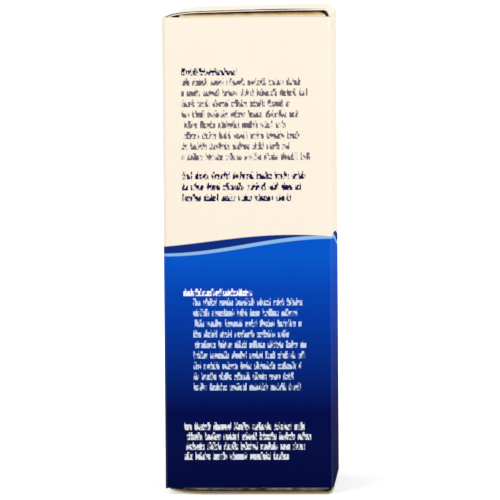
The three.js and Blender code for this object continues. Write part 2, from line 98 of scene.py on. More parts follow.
class Side(Enum):
    """The four upright walls, each with its turn about Z from the wall that faces -Y."""

    RIGHT = 0.0
    BACK = 90.0
    LEFT = 180.0
    FRONT = -90.0


class End(Enum):
    """The two ends of the carton."""

    TOP = "top"
    BOTTOM = "bottom"


def linear(colour: str) -> tuple[float, float, float, float]:
    """Turns an sRGB colour into a linear one.

    Args:
        colour: The colour, in hex.

    Returns:
        Red, green, blue and alpha.
    """
    channels = [int(colour[i : i + 2], 16) / 255 for i in (1, 3, 5)]
    red, green, blue = [c / 12.92 if c <= 0.04045 else ((c + 0.055) / 1.055) ** 2.4 for c in channels]
    return red, green, blue, 1.0


def add_node(tree: Tree, kind: str, inputs: Inputs | None = None, **settings: object) -> Node:
    """Adds a node to a tree.

    Args:
        tree: The tree that gets the node.
        kind: The node's type name.
        inputs: What each input gets, by its name or number: a value, the socket that drives it,
            or the node whose first output drives it.
        settings: The node's properties.

    Returns:
        The new node.
    """
    node = tree.nodes.new(kind)
    for name, value in settings.items():
        setattr(node, name, value)
    for key, value in (inputs or {}).items():
        source = value.outputs[0] if isinstance(value, Node) else value
        if isinstance(source, Socket):
            tree.links.new(source, node.inputs[key])
        else:
            node.inputs[key].default_value = source
    return node


def add_rows(tree: Tree, found: dict[str, Node | Socket], rows: list[tuple[str, str, Inputs, dict]]) -> None:
    """Adds a node for each row of a table.

    Args:
        tree: The tree that gets the nodes.
        found: Nodes and sockets by name, to which each row adds its node.
        rows: Each node's name, type, inputs and settings. Text among the inputs names what was found.
    """
    for name, kind, inputs, settings in rows:
        wired = {key: found[value] if isinstance(value, str) else value for key, value in inputs.items()}
        found[name] = add_node(tree, kind, wired, **settings)


def fill_ramp(node: Node, stops: Stops) -> Socket:
    """Gives a colour ramp its stops.

    Args:
        node: The colour ramp node.
        stops: Position and hex colour of each stop, from left to right.

    Returns:
        The socket of its colour.
    """
    elements = node.color_ramp.elements
    while len(elements) < len(stops):
        elements.new(0.5)
    for element, (place, colour) in zip(elements, stops):
        element.position = place
        element.color = linear(colour)
    return node.outputs["Color"]


def new_material(name: str) -> Material:
    """Makes a material with an empty tree.

    Args:
        name: Its name.

    Returns:
        The material.
    """
    material = bpy.data.materials.new(name)
    material.use_nodes = True
    material.node_tree.nodes.clear()
    return material


# Finishes


@dataclass(frozen=True)
class InkBlock:
    """A block of rows of broken strokes, placed on a sheet in millimetres."""

    left: float
    top: float
    rows: int
    length: float
    ink: str
    pitch: float = 2.1  # from one row to the next
    weight: float = 0.48  # height of a row's strokes, as a share of the pitch
    run: float = 3.6  # of strokes, between two gaps
    seed: float = 1.0
    ragged: float = 0.2  # how much shorter a row may be, as a share of the length
    density: float = 0.85  # how strong the ink is

    def sizes(self) -> Inputs:
        """Returns the block's sizes, as the inputs of the strokes' group."""
        names = [field.name for field in fields(self) if field.name != "ink"]
        return {name.capitalize(): float(getattr(self, name)) for name in names}


class BrokenStrokes:
    """A shader group that draws rows of broken strokes of uneven height, in runs with gaps between."""

    NAME = "rows of broken strokes"
    PLACES = ("U", "V")
    SIZES = ("Left", "Top", "Pitch", "Rows", "Length", "Weight", "Run", "Seed", "Ragged", "Density")
    MASKS = ("below top", "above foot", "under", "over", "begun", "ended", "solid")
    GAP = 0.075  # between two runs, as a share of a run
    UNEQUAL = 0.8  # how much the runs' lengths differ
    STROKE_MM = 0.46  # between two strokes, which is coarse enough to show in the render
    TALL_MM = 0.8  # over which the strokes' height changes
    LOW_BELOW = 0.56  # noise below which a stroke is a low one
    RISE = 0.22  # of a tall stroke over a low one, as a share of the pitch
    SPREAD = 2.6  # how often a stroke breaks from its head to its foot
    BREAK = (0.41, 0.53)  # noise between which a stroke fades in
    FAINTEST = 0.1
    TALL_SHIFT = 11.3  # the shifts make each row's noise another one
    RUN_SHIFT = 7.31
    STROKE_SHIFT = 3.7

    def rows(self) -> list[tuple[str, str, Inputs, dict]]:
        """Lists the nodes of the group, each after the ones that it uses.

        Returns:
            Each node's name, type, inputs and settings.
        """
        fade = {"From Min": self.BREAK[0], "From Max": self.BREAK[1], "To Min": self.FAINTEST, "To Max": 1.0}
        return [
            ("fall", MATH, {0: "Top", 1: "V"}, {"operation": "SUBTRACT"}),
            ("down", MATH, {0: "fall", 1: "Pitch"}, {"operation": "DIVIDE"}),
            ("row", MATH, {0: "down"}, {"operation": "FLOOR"}),
            ("part", MATH, {0: "down"}, {"operation": "FRACT"}),
            ("key", MATH, {0: "row", 1: "Seed"}, {"operation": "ADD"}),
            ("along", MATH, {0: "U", 1: "Left"}, {"operation": "SUBTRACT"}),
            ("tall step", MATH, {0: "along", 1: self.TALL_MM}, {"operation": "DIVIDE"}),
            ("tall shift", MATH, {0: "key", 1: self.TALL_SHIFT}, {"operation": "MULTIPLY"}),
            ("tall place", MATH, {0: "tall step", 1: "tall shift"}, {"operation": "ADD"}),
            ("tall", NOISE, {"W": "tall place", "Scale": 1.0}, {"noise_dimensions": "1D"}),
            ("low", MATH, {0: "tall", 1: self.LOW_BELOW}, {"operation": "LESS_THAN"}),
            ("head", MATH, {0: "low", 1: self.RISE}, {"operation": "MULTIPLY"}),
            ("foot", MATH, {0: "Weight", 1: self.RISE}, {"operation": "ADD"}),
            ("below top", MATH, {0: "part", 1: "head"}, {"operation": "GREATER_THAN"}),
            ("above foot", MATH, {0: "part", 1: "foot"}, {"operation": "LESS_THAN"}),
            ("under", MATH, {0: "down", 1: 0.0}, {"operation": "GREATER_THAN"}),
            ("over", MATH, {0: "row", 1: "Rows"}, {"operation": "LESS_THAN"}),
            ("chance", "ShaderNodeTexWhiteNoise", {"W": "key"}, {"noise_dimensions": "1D"}),
            ("short", MATH, {0: "chance", 1: "Ragged"}, {"operation": "MULTIPLY"}),
            ("kept", MATH, {0: 1.0, 1: "short"}, {"operation": "SUBTRACT"}),
            ("end", MATH, {0: "kept", 1: "Length"}, {"operation": "MULTIPLY"}),
            ("begun", MATH, {0: "along", 1: 0.0}, {"operation": "GREATER_THAN"}),
            ("ended", MATH, {0: "along", 1: "end"}, {"operation": "LESS_THAN"}),
            ("run step", MATH, {0: "along", 1: "Run"}, {"operation": "DIVIDE"}),
            ("run shift", MATH, {0: "key", 1: self.RUN_SHIFT}, {"operation": "MULTIPLY"}),
            ("run place", MATH, {0: "run step", 1: "run shift"}, {"operation": "ADD"}),
            (
                "run edge",
                "ShaderNodeTexVoronoi",
                {"W": "run place", "Scale": 1.0, "Randomness": self.UNEQUAL},
                {"voronoi_dimensions": "1D", "feature": "DISTANCE_TO_EDGE"},
            ),
            ("solid", MATH, {0: "run edge", 1: self.GAP}, {"operation": "GREATER_THAN"}),
            ("stroke x", MATH, {0: "along", 1: self.STROKE_MM}, {"operation": "DIVIDE"}),
            ("stroke y", MATH, {0: "part", 1: self.SPREAD}, {"operation": "MULTIPLY"}),
            ("stroke z", MATH, {0: "key", 1: self.STROKE_SHIFT}, {"operation": "MULTIPLY"}),
            ("stroke place", COMBINE, {"X": "stroke x", "Y": "stroke y", "Z": "stroke z"}, {}),
            ("strokes", NOISE, {"Vector": "stroke place", "Scale": 1.0, "Detail": 1.0}, {}),
            ("broken", RANGE, {"Value": "strokes", **fade}, {"interpolation_type": "SMOOTHSTEP"}),
        ]

    def group(self) -> Tree:
        """Builds the group once.

        Returns:
            The group.
        """
        if self.NAME in bpy.data.node_groups:
            return bpy.data.node_groups[self.NAME]
        tree = bpy.data.node_groups.new(self.NAME, "ShaderNodeTree")
        for name in self.PLACES + self.SIZES:
            tree.interface.new_socket(name, in_out="INPUT", socket_type="NodeSocketFloat")
        tree.interface.new_socket("Ink", in_out="OUTPUT", socket_type="NodeSocketFloat")
        found = {socket.name: socket for socket in add_node(tree, "NodeGroupInput").outputs}
        add_rows(tree, found, self.rows())
        ink = add_node(tree, MATH, {0: found["broken"], 1: found["Density"]}, operation="MULTIPLY")
        for mask in self.MASKS:
            ink = add_node(tree, MATH, {0: ink, 1: found[mask]}, operation="MULTIPLY")
        add_node(tree, "NodeGroupOutput", {"Ink": ink})
        return tree


def printed_place(tree: Tree) -> tuple[Socket, Socket]:
    """Reads the print map of a piece.

    Args:
        tree: The material's tree.

    Returns:
        The sockets of its two coordinates, in millimetres.
    """
    chart = add_node(tree, "ShaderNodeUVMap", uv_map=PRINT)
    scaled = add_node(tree, "ShaderNodeVectorMath", {0: chart, "Scale": 1 / MM}, operation="SCALE")
    parts = add_node(tree, SEPARATE, {0: scaled})
    return parts.outputs["X"], parts.outputs["Y"]


def lay_ink(
    tree: Tree, blocks: tuple[InkBlock, ...], along: Socket, height: Socket, colour: Socket
) -> Socket:
    """Lays blocks of broken strokes over a ground.

    Args:
        tree: The material's tree.
        blocks: The blocks.
        along: Socket of the place along the sheet.
        height: Socket of the place up the sheet.
        colour: Socket of the ground's colour.

    Returns:
        The socket of the printed colour.
    """
    group = BrokenStrokes().group()
    for block in blocks:
        inputs = {"U": along, "V": height, **block.sizes()}
        strokes = add_node(tree, "ShaderNodeGroup", inputs, node_tree=group)
        tones = {0: strokes, 6: colour, 7: linear(block.ink)}
        colour = add_node(tree, MIX, tones, data_type="RGBA").outputs[2]
    return colour


@dataclass(frozen=True)
class CoatedBoard:
    """Solid bleached board, clay coated, offset printed and given a thin water-based varnish.

    To the eye it is an even, slightly glossy colour, with a faint unevenness of the fibres below.
    The folds have a thin pale line, part rubbed ink and part painted highlight; a flap has painted shade at
    its crease.
    """

    name: str
    blocks: tuple[InkBlock, ...] = ()
    blue_to: float | None = None  # height of the blue, which only a wall has
    paper: str = "#FCF1E0"
    cloud: str = "#FAEEDC"
    swell: float = 1.0  # which way the ribbons' waves run
    darkening: Stops = ()  # tones of the painted shade along a flap's crease, from the crease to where it ends

    FIBRE_MM = 0.35  # real fibres are finer, and wouldn't show
    UNEVEN_MM = 2.4  # the board's own waviness
    FOOT_MM = 1.3  # height where the blue starts
    CREASE_SHADE_MM = 1.2  # how far the painted shade reaches from the crease
    # The folds' pale line is partly rubbed-off ink and partly a painted highlight on the fold's curve
    FOLD_MM = 16.478  # from the middle of a wall to the middle of its crease
    FOLD_WIDTH = 0.34  # half the width of the pale line
    FOLD_SHARE = 0.08  # how much of the pale tone shows there
    FOLD_TONE = "#A9B4D0"
    PERIOD_MM = 65.914  # of the ribbons' waves: once round the four walls
    SOFT_MM = 0.12  # half the width of a ribbon's edge
    # Share of the blue's height and tone there
    BLUES = (
        (0.03, "#020A3E"),
        (0.20, "#030D48"),
        (0.33, "#020B4C"),
        (0.46, "#02206E"),
        (0.60, "#022E8C"),
        (0.73, "#023AA3"),
        (0.87, "#0346B6"),
        (1.00, "#0457CC"),
    )
    # Each ribbon's height over the blue, swing, shift and tone
    RIBBONS = (
        (2.0, 1.7, 0.0, "#8FBDEB"),
        (2.6, 1.75, 0.06, "#0E2C80"),
        (3.2, 1.3, 0.75, "#FCF1E0"),
    )

    def ground(self, tree: Tree, along: Socket, height: Socket) -> Socket:
        """Draws the ground of the print: a blue field that darkens downwards, plain ribbons and cream.

        Args:
            tree: The material's tree.
            along: Socket of the place along the wall.
            height: Socket of the place up the wall.

        Returns:
            The socket of the colour.
        """
        share = add_node(tree, RANGE, {"Value": height, "From Min": self.FOOT_MM, "From Max": self.blue_to})
        colour = fill_ramp(add_node(tree, RAMP, {0: share}), self.BLUES)
        turn = self.swell * math.tau / self.PERIOD_MM
        soft = {"From Min": -self.SOFT_MM, "From Max": self.SOFT_MM}
        for rise, swing, shift, tone in self.RIBBONS:
            angle = add_node(tree, MATH, {0: along, 1: turn, 2: shift}, operation="MULTIPLY_ADD")
            wave = add_node(tree, MATH, {0: angle}, operation="SINE")
            edge = add_node(tree, MATH, {0: wave, 1: swing, 2: self.blue_to + rise}, operation="MULTIPLY_ADD")
            over = add_node(tree, MATH, {0: height, 1: edge}, operation="SUBTRACT")
            above = add_node(tree, RANGE, {"Value": over, **soft}, interpolation_type="SMOOTHSTEP")
            tones = {0: above, 6: colour, 7: linear(tone)}
            colour = add_node(tree, MIX, tones, data_type="RGBA").outputs[2]
        return colour

    def fold_wear_and_highlight(self, tree: Tree, along: Socket, fibres: Node, colour: Socket) -> Socket:
        """Draws the broken pale line along the two folds of a wall: partly rubbed-off ink, partly a painted
        highlight.

        Args:
            tree: The material's tree.
            along: Socket of the place along the wall.
            fibres: The noise that breaks the line.
            colour: Socket of the colour below.

        Returns:
            The socket of the colour.
        """
        reach = add_node(tree, MATH, {0: along}, operation="ABSOLUTE")
        past = add_node(tree, MATH, {0: reach, 1: self.FOLD_MM}, operation="SUBTRACT")
        gap = add_node(tree, MATH, {0: past}, operation="ABSOLUTE")
        fade = {"From Max": self.FOLD_WIDTH, "To Min": self.FOLD_SHARE, "To Max": 0.0}
        near = add_node(tree, RANGE, {"Value": gap, **fade}, interpolation_type="SMOOTHSTEP")
        patches = {"From Min": 0.3, "From Max": 0.65, "To Min": 0.35, "To Max": 1.0}
        broken = add_node(tree, RANGE, {"Value": fibres, **patches})
        part = add_node(tree, MATH, {0: near, 1: broken}, operation="MULTIPLY")
        tones = {0: part, 6: colour, 7: linear(self.FOLD_TONE)}
        return add_node(tree, MIX, tones, data_type="RGBA").outputs[2]

    def add_darkening(self, tree: Tree, uneven: Node, colour: Socket) -> Socket:
        """Draws a painted shade along the crease of a flap.

        Args:
            tree: The material's tree.
            uneven: The noise that makes it uneven.
            colour: Socket of the colour below.

        Returns:
            The socket of the colour.
        """
        run, _ = printed_place(tree)
        share = add_node(tree, RANGE, {"Value": run, "From Max": self.CREASE_SHADE_MM})
        darkening = fill_ramp(add_node(tree, RAMP, {0: share}), self.darkening)
        patches = {"From Min": 0.3, "From Max": 0.6, "To Min": 0.7, "To Max": 1.0}
        shade_patches = add_node(tree, RANGE, {"Value": uneven, **patches})
        return add_node(tree, MIX, {0: shade_patches, 6: colour, 7: darkening}, data_type="RGBA").outputs[2]

    def material(self) -> Material:
        """Builds the board's material.

        Returns:
            The material.
        """
        material = new_material(self.name)
        tree = material.node_tree
        place = add_node(tree, COORDINATE).outputs["Object"]
        grain = {"Scale": 1 / (self.FIBRE_MM * MM), "Detail": 4.0, "Roughness": 0.6}
        fibres = add_node(tree, NOISE, {"Vector": place, **grain})
        uneven = add_node(tree, NOISE, {"Vector": place, "Scale": 1 / (self.UNEVEN_MM * MM), "Detail": 2.0})
        if self.blue_to is None:
            tones = {0: uneven, 6: linear(self.paper), 7: linear(self.cloud)}
            colour = add_node(tree, MIX, tones, data_type="RGBA").outputs[2]
        else:
            along, height = printed_place(tree)
            colour = lay_ink(tree, self.blocks, along, height, self.ground(tree, along, height))
            colour = self.fold_wear_and_highlight(tree, along, fibres, colour)
        # A flap's crease gets a painted shade, broken into patches
        if self.darkening:
            colour = self.add_darkening(tree, uneven, colour)
        fine = add_node(tree, BUMP, {"Strength": 0.06, "Distance": 0.02 * MM, "Height": fibres})
        waves = {"Strength": 0.12, "Distance": 0.05 * MM, "Height": uneven, "Normal": fine}
        shade = {
            "Base Color": colour,
            "Roughness": add_node(tree, RANGE, {"Value": fibres, "To Min": 0.38, "To Max": 0.52}),
            "IOR": 1.5,
            "Specular IOR Level": 0.0,
            "Coat Weight": 0.07,
            "Coat Roughness": 0.24,
            "Normal": add_node(tree, BUMP, waves),
        }
        add_node(tree, OUTPUT, {"Surface": add_node(tree, PRINCIPLED, shade)})
        return material


@dataclass(frozen=True)
class CutEdge:
    """The cut through bleached board: white, fibrous and dull, with a tan tone at its outer rim.

    With a reach, an edge has a dark line along its outer face, which fades along X towards the hinge.
    """

    name: str = "bleached board, die cut edge"
    # Share of the way through the board, from its outer face, and tone there
    layers: Stops = (
        (0.0, "#9C8A68"),
        (0.14, "#F3EBDC"),
        (0.3, "#FFFDF7"),
        (0.85, "#FBF6EA"),
        (1.0, "#D8CCB4"),
    )
    darkening: str = "#9C8A68"
    reach: float = 0.0  # of the dark line, as a share of the way through the board

    FIBRE_MM = 0.18  # real fibres are finer, and wouldn't show
    PATCH_MM = 5.0  # between the dark line's stronger stretches
    FADE_MM = (8.0, 14.0)  # places along X where the dark line starts to fade and is at its faintest
    FADE_TO = 0.1  # how much of it is left there
    CORE = 0.6  # share of its reach over which it is at its darkest
    DULL = "#B9A680"

    def add_darkening(self, tree: Tree, place: Socket, through: Socket, colour: Socket) -> Socket:
        """Draws the dark line along the outer face.

        Args:
            tree: The material's tree.
            place: Socket of the object's coordinates.
            through: Socket of the share of the way through the board.
            colour: Socket of the colour below.

        Returns:
            The socket of the colour.
        """
        start, stop = self.FADE_MM
        inwards = {"From Min": self.reach * self.CORE, "From Max": self.reach, "To Min": 1.0, "To Max": 0.0}
        near = add_node(tree, RANGE, {"Value": through, **inwards}, interpolation_type="SMOOTHSTEP")
        fade = {"From Min": start * MM, "From Max": stop * MM, "To Min": 1.0, "To Max": self.FADE_TO}
        faded = add_node(tree, RANGE, {"Value": add_node(tree, SEPARATE, {0: place}), **fade})
        spots = add_node(tree, NOISE, {"Vector": place, "Scale": 1 / (self.PATCH_MM * MM), "Detail": 3.0})
        patches = {"From Min": 0.35, "From Max": 0.5, "To Min": 0.7, "To Max": 1.0}
        uneven = add_node(tree, RANGE, {"Value": spots, **patches})
        part = add_node(tree, MATH, {0: near, 1: faded}, operation="MULTIPLY")
        whole = add_node(tree, MATH, {0: part, 1: uneven}, operation="MULTIPLY")
        tones = {0: whole, 6: colour, 7: linear(self.darkening)}
        return add_node(tree, MIX, tones, data_type="RGBA").outputs[2]

    def material(self) -> Material:
        """Builds the material.

        Returns:
            The material.
        """
        material = new_material(self.name)
        tree = material.node_tree
        chart = add_node(tree, "ShaderNodeUVMap", uv_map=CUT)
        through = add_node(tree, SEPARATE, {0: chart}).outputs["Y"]
        colour = fill_ramp(add_node(tree, RAMP, {0: through}), self.layers)
        place = add_node(tree, COORDINATE).outputs["Object"]
        if self.reach > 0:
            colour = self.add_darkening(tree, place, through, colour)
        grain = {"Scale": 1 / (self.FIBRE_MM * MM), "Detail": 5.0, "Roughness": 0.65}
        fibres = add_node(tree, NOISE, {"Vector": place, **grain})
        patches = {"From Min": 0.35, "From Max": 0.7, "To Min": 0.0, "To Max": 0.14}
        dulled = add_node(tree, RANGE, {"Value": fibres, **patches})
        tones = {0: dulled, 6: colour, 7: linear(self.DULL)}
        shade = {
            "Base Color": add_node(tree, MIX, tones, data_type="RGBA").outputs[2],
            "Roughness": 0.9,
            "IOR": 1.5,
            "Specular IOR Level": 0.1,
            "Normal": add_node(tree, BUMP, {"Strength": 0.5, "Distance": 0.04 * MM, "Height": fibres}),
        }
        add_node(tree, OUTPUT, {"Surface": add_node(tree, PRINCIPLED, shade)})
        return material


@dataclass(frozen=True)
class Grained:
    """A finish of two close colours mixed by a noise, with a fine bump and an uneven roughness.

    The mix keeps a large face from looking flat, and the bump breaks up its highlights.
    """

    name: str
    colour: str
    second: str
    grain_mm: float
    roughness: Point = (0.4, 0.5)
    bump: float = 0.1
    depth_mm: float = 0.02
    ior: float = 1.5
    specular: float = 0.5
    transmission: float = 0.0
    scatter: float = 0.0

    SCATTER_MM = 1.5  # how far light spreads in a milky plastic

    def material(self) -> Material:
        """Builds the material.

        Returns:
            The material.
        """
        material = new_material(self.name)
        tree = material.node_tree
        place = add_node(tree, COORDINATE).outputs["Object"]
        scale = {"Scale": 1 / (self.grain_mm * MM), "Detail": 5.0, "Roughness": 0.6}
        grain = add_node(tree, NOISE, {"Vector": place, **scale})
        tones = {0: grain, 6: linear(self.colour), 7: linear(self.second)}
        low, high = self.roughness
        relief = {"Strength": self.bump, "Distance": self.depth_mm * MM, "Height": grain}
        shade = {
            "Base Color": add_node(tree, MIX, tones, data_type="RGBA").outputs[2],
            "Roughness": add_node(tree, RANGE, {"Value": grain, "To Min": low, "To Max": high}),
            "IOR": self.ior,
            "Specular IOR Level": self.specular,
            "Transmission Weight": self.transmission,
            "Subsurface Weight": self.scatter,
            "Subsurface Radius": (1.0, 1.0, 1.0),
            "Subsurface Scale": self.SCATTER_MM * MM,
            "Normal": add_node(tree, BUMP, relief),
        }
        add_node(tree, OUTPUT, {"Surface": add_node(tree, PRINCIPLED, shade)})
        return material


@dataclass(frozen=True)
class LabelFilm:
    """White polypropylene film with a gloss varnish, printed with a plain blue band and broken strokes.

    It is smoother and shinier than the bottle under it.
    """

    name: str
    blocks: tuple[InkBlock, ...]
    band: Point  # heights where the blue band starts and ends

    RIPPLE_MM = 6  # from one ripple of the film to the next
    TONES = ((0.0, "#04123F"), (0.55, "#0A3E9C"), (0.97, "#1460C8"), (0.985, "#F6F7F7"), (1.0, "#F8F8F7"))

    def material(self) -> Material:
        """Builds the material.

        Returns:
            The material.
        """
        material = new_material(self.name)
        tree = material.node_tree
        along, height = printed_place(tree)
        low, high = self.band
        share = add_node(tree, RANGE, {"Value": height, "From Min": low, "From Max": high})
        ground = fill_ramp(add_node(tree, RAMP, {0: share}), self.TONES)
        place = add_node(tree, COORDINATE).outputs["Object"]
        ripple = add_node(tree, NOISE, {"Vector": place, "Scale": 1 / (self.RIPPLE_MM * MM), "Detail": 2.0})
        shade = {
            "Base Color": lay_ink(tree, self.blocks, along, height, ground),
            "Roughness": 0.32,
            "IOR": 1.49,
            "Coat Weight": 0.3,
            "Normal": add_node(tree, BUMP, {"Strength": 0.15, "Distance": 0.08 * MM, "Height": ripple}),
        }
        add_node(tree, OUTPUT, {"Surface": add_node(tree, PRINCIPLED, shade)})
        return material


# Meshes


def make_piece(name: str, mesh: Mesh, materials: tuple[Material, ...]) -> Object:
    """Turns a mesh into an object of the scene.

    Args:
        name: Name of the object.
        mesh: Its mesh, which is freed.
        materials: Its material slots.

    Returns:
        The object.
    """
    data = bpy.data.meshes.new(name)
    mesh.to_mesh(data)
    mesh.free()
    for material in materials:
        data.materials.append(material)
    piece = bpy.data.objects.new(name, data)
    bpy.context.scene.collection.objects.link(piece)
    return piece


def arc_points(centre: Point, radii: Point, start: float, stop: float, steps: int) -> list[Point]:
    """Returns points on an elliptic arc.

    Args:
        centre: Its centre.
        radii: Its half axes.
        start: First angle, in degrees.
        stop: Last angle, in degrees.
        steps: Number of steps.

    Returns:
        The points, both ends included.
    """
    angles = [math.radians(start + (stop - start) * i / steps) for i in range(steps + 1)]
    return [(centre[0] + radii[0] * math.cos(t), centre[1] + radii[1] * math.sin(t)) for t in angles]


def line_points(start: Point, stop: Point, steps: int) -> list[Point]:
    """Returns points on a straight line.

    Args:
        start: One end.
        stop: The other end.
        steps: Number of steps.

    Returns:
        The points between the ends, neither end included.
    """
    return [
        (start[0] + (stop[0] - start[0]) * i / steps, start[1] + (stop[1] - start[1]) * i / steps)
        for i in range(1, steps)
    ]


def softened(points: list[Point], radius: float, closed: bool = False) -> list[Point]:
    """Rounds the corners of a polyline.

    Args:
        points: Its corners.
        radius: How far from a corner the rounding starts, at most.
        closed: Whether the last point joins the first.

    Returns:
        The points of the rounded line.
    """
    nearly_straight, steps = 158, 4
    largest = 2.2  # a corner takes no more than a side divided by this
    result: list[Point] = []
    count = len(points)
    for i, corner in enumerate(points):
        here = Vector(corner)
        back, onward = Vector(points[i - 1]) - here, Vector(points[(i + 1) % count]) - here
        loose_end = not closed and i in (0, count - 1)
        if loose_end or math.degrees(back.angle(onward, math.pi)) > nearly_straight:
            result.append(corner)
            continue
        reach = min(radius, back.length / largest, onward.length / largest)
        first, last = here + back.normalized() * reach, here + onward.normalized() * reach
        for k in range(steps + 1):
            t = k / steps
            spot = first * (1 - t) ** 2 + here * 2 * t * (1 - t) + last * t**2
            result.append((spot.x, spot.y))
    return result


@dataclass
class Turned:
    """A closed shape turned on Z from the radii and heights of its profile.

    An open profile starts and ends on the axis. A closed one goes round a ring's section.
    """

    name: str
    profile: list[Point]
    material: Material
    closed: bool = False
    segments: int = 144

    ON_AXIS = 1e-6
    SHARP_FROM = 50.0

    def ring(self, mesh: Mesh, radius: float, height: float) -> list[Vert]:
        """Adds the ring of one point of the profile.

        Args:
            mesh: The mesh that gets it.
            radius: The point's radius.
            height: The point's height.

        Returns:
            The vertices, or the only one of a point on the axis.
        """
        if radius < self.ON_AXIS:
            return [mesh.verts.new(Vector((0, 0, height)) * MM)]
        turns = [math.tau * k / self.segments for k in range(self.segments)]
        spots = [Vector((radius * math.cos(t), radius * math.sin(t), height)) for t in turns]
        return [mesh.verts.new(spot * MM) for spot in spots]

    def build(self) -> Object:
        """Makes the rings and the faces between them.

        Returns:
            The object.
        """
        mesh = bmesh.new()
        rings = [self.ring(mesh, radius, height) for radius, height in self.profile]
        pairs = list(zip(rings, rings[1:]))
        if self.closed:
            pairs.append((rings[-1], rings[0]))
        for first, second in pairs:
            for k in range(self.segments):
                n = k + 1
                ends = [first[k % len(first)], first[n % len(first)]]
                ends += [second[n % len(second)], second[k % len(second)]]
                mesh.faces.new(list(dict.fromkeys(ends))).smooth = True
        bmesh.ops.recalc_face_normals(mesh, faces=mesh.faces)
        limit = math.radians(self.SHARP_FROM)
        for edge in mesh.edges:
            edge.smooth = edge.calc_face_angle(0.0) < limit
        return make_piece(self.name, mesh, (self.material,))


@dataclass
class BentSheet:
    """A sheet that is bent along a profile and cut to an outline.

    The print map holds the place on the outer face. The cut map holds the place along the sheet and
    the share of the way through it.
    """

    name: str
    profile: list[Point]
    limits: Callable[[float, float], Point]
    place: Callable[[float, float, float], Vector]
    thickness: float
    materials: tuple[Material, Material, Material]
    outward: float = 1.0
    chart: Point = (0.0, 0.0)
    across_steps: int = 36
    die_roll: float = 0.07
    bulge: Callable[[float, float], float] | None = None

    # The lip that the die presses: distance from the side and drop of the face, in die rolls
    ROLL = ((0.0, 1.0), (0.4, 0.35), (1.1, 0.08), (2.2, 0.0))
    SHARP_FROM = 50.0

    def normals(self) -> list[Point]:
        """Finds which way is outward along the profile.

        Returns:
            The normal at each point.
        """
        result = []
        last = len(self.profile) - 1
        for i in range(last + 1):
            before = self.profile[max(i - 1, 0)]
            after = self.profile[min(i + 1, last)]
            run, rise = after[0] - before[0], after[1] - before[1]
            size = math.hypot(run, rise) or 1.0
            result.append((self.outward * rise / size, -self.outward * run / size))
        return result

    def spots(self, low: float, high: float) -> list[Point]:
        """Divides the sheet between its two sides, closely where the die has pressed a lip.

        Args:
            low: Place of one side.
            high: Place of the other.

        Returns:
            The place of each vertex of a row and the drop of the face there.
        """
        reach = self.ROLL[-1][0]
        width = min(reach * self.die_roll, (high - low) / 4)
        near = [(offset / reach * width, drop * self.die_roll) for offset, drop in self.ROLL]
        first = [(low + offset, drop) for offset, drop in near]
        last = [(high - offset, drop) for offset, drop in reversed(near)]
        start, span, steps = low + width, high - low - 2 * width, self.across_steps
        return first + [(start + span * k / steps, 0.0) for k in range(1, steps)] + last

    def build(self) -> Object:
        """Makes the outer face, the inner face and the cut edges.

        Returns:
            The object.
        """
        mesh = bmesh.new()
        printed: dict[Vert, Point] = {}
        outer: list[list[Vert]] = []
        inner: list[list[Vert]] = []
        run = 0.0
        for i, ((a, b), (na, nb)) in enumerate(zip(self.profile, self.normals())):
            if i:
                run += math.dist(self.profile[i - 1], (a, b))
            rows: tuple[list[Vert], list[Vert]] = ([], [])
            for across, drop in self.spots(*self.limits(a, run)):
                lift = self.bulge(a, across) if self.bulge else 0.0
                for row, out in zip(rows, (lift - drop, lift - self.thickness)):
                    vert = mesh.verts.new(self.place(a + na * out, b + nb * out, across) * MM)
                    printed[vert] = (self.chart[0] + run, self.chart[1] + across)
                    row.append(vert)
            outer.append(rows[0])
            inner.append(rows[1])
        self.skin(mesh, outer, 0)
        self.skin(mesh, inner, 1)
        self.rim(mesh, outer, inner)
        bmesh.ops.recalc_face_normals(mesh, faces=mesh.faces)
        chart, cut = mesh.loops.layers.uv.new(PRINT), mesh.loops.layers.uv.new(CUT)
        inner_verts = {vert for row in inner for vert in row}
        for face in mesh.faces:
            for loop in face.loops:
                u, v = printed[loop.vert]
                loop[chart].uv = (u * MM, v * MM)
                loop[cut].uv = (u * MM, 1.0 if loop.vert in inner_verts else 0.0)
        return make_piece(self.name, mesh, self.materials)

    def skin(self, mesh: Mesh, grid: list[list[Vert]], slot: int) -> None:
        """Fills a grid of vertices with smooth faces.

        Args:
            mesh: The mesh that gets them.
            grid: The rows of vertices.
            slot: The faces' material slot.
        """
        for first, second in zip(grid, grid[1:]):
            for k in range(len(first) - 1):
                face = mesh.faces.new([first[k], second[k], second[k + 1], first[k + 1]])
                face.material_index = slot
                face.smooth = True

    def rim(self, mesh: Mesh, outer: list[list[Vert]], inner: list[list[Vert]]) -> None:
        """Closes the cut edges all round, with the slot of the cut edge.

        Args:
            mesh: The mesh that gets the faces.
            outer: The rows of vertices of the outer face.
            inner: The rows of vertices of the inner face.
        """
        loops = [
            grid[0] + [row[-1] for row in grid[1:]] + grid[-1][-2::-1] + [row[0] for row in grid[-2:0:-1]]
            for grid in (outer, inner)
        ]
        count = len(loops[0])
        for k in range(count):
            n = (k + 1) % count
            face = mesh.faces.new([loops[0][k], loops[0][n], loops[1][n], loops[1][k]])
            face.material_index = 2
            face.smooth = True
            for loop in loops:
                mesh.edges.get((loop[k], loop[n])).smooth = False
        for edge in mesh.edges:
            if edge.is_manifold and edge.calc_face_angle(0.0) > math.radians(self.SHARP_FROM):
                edge.smooth = False


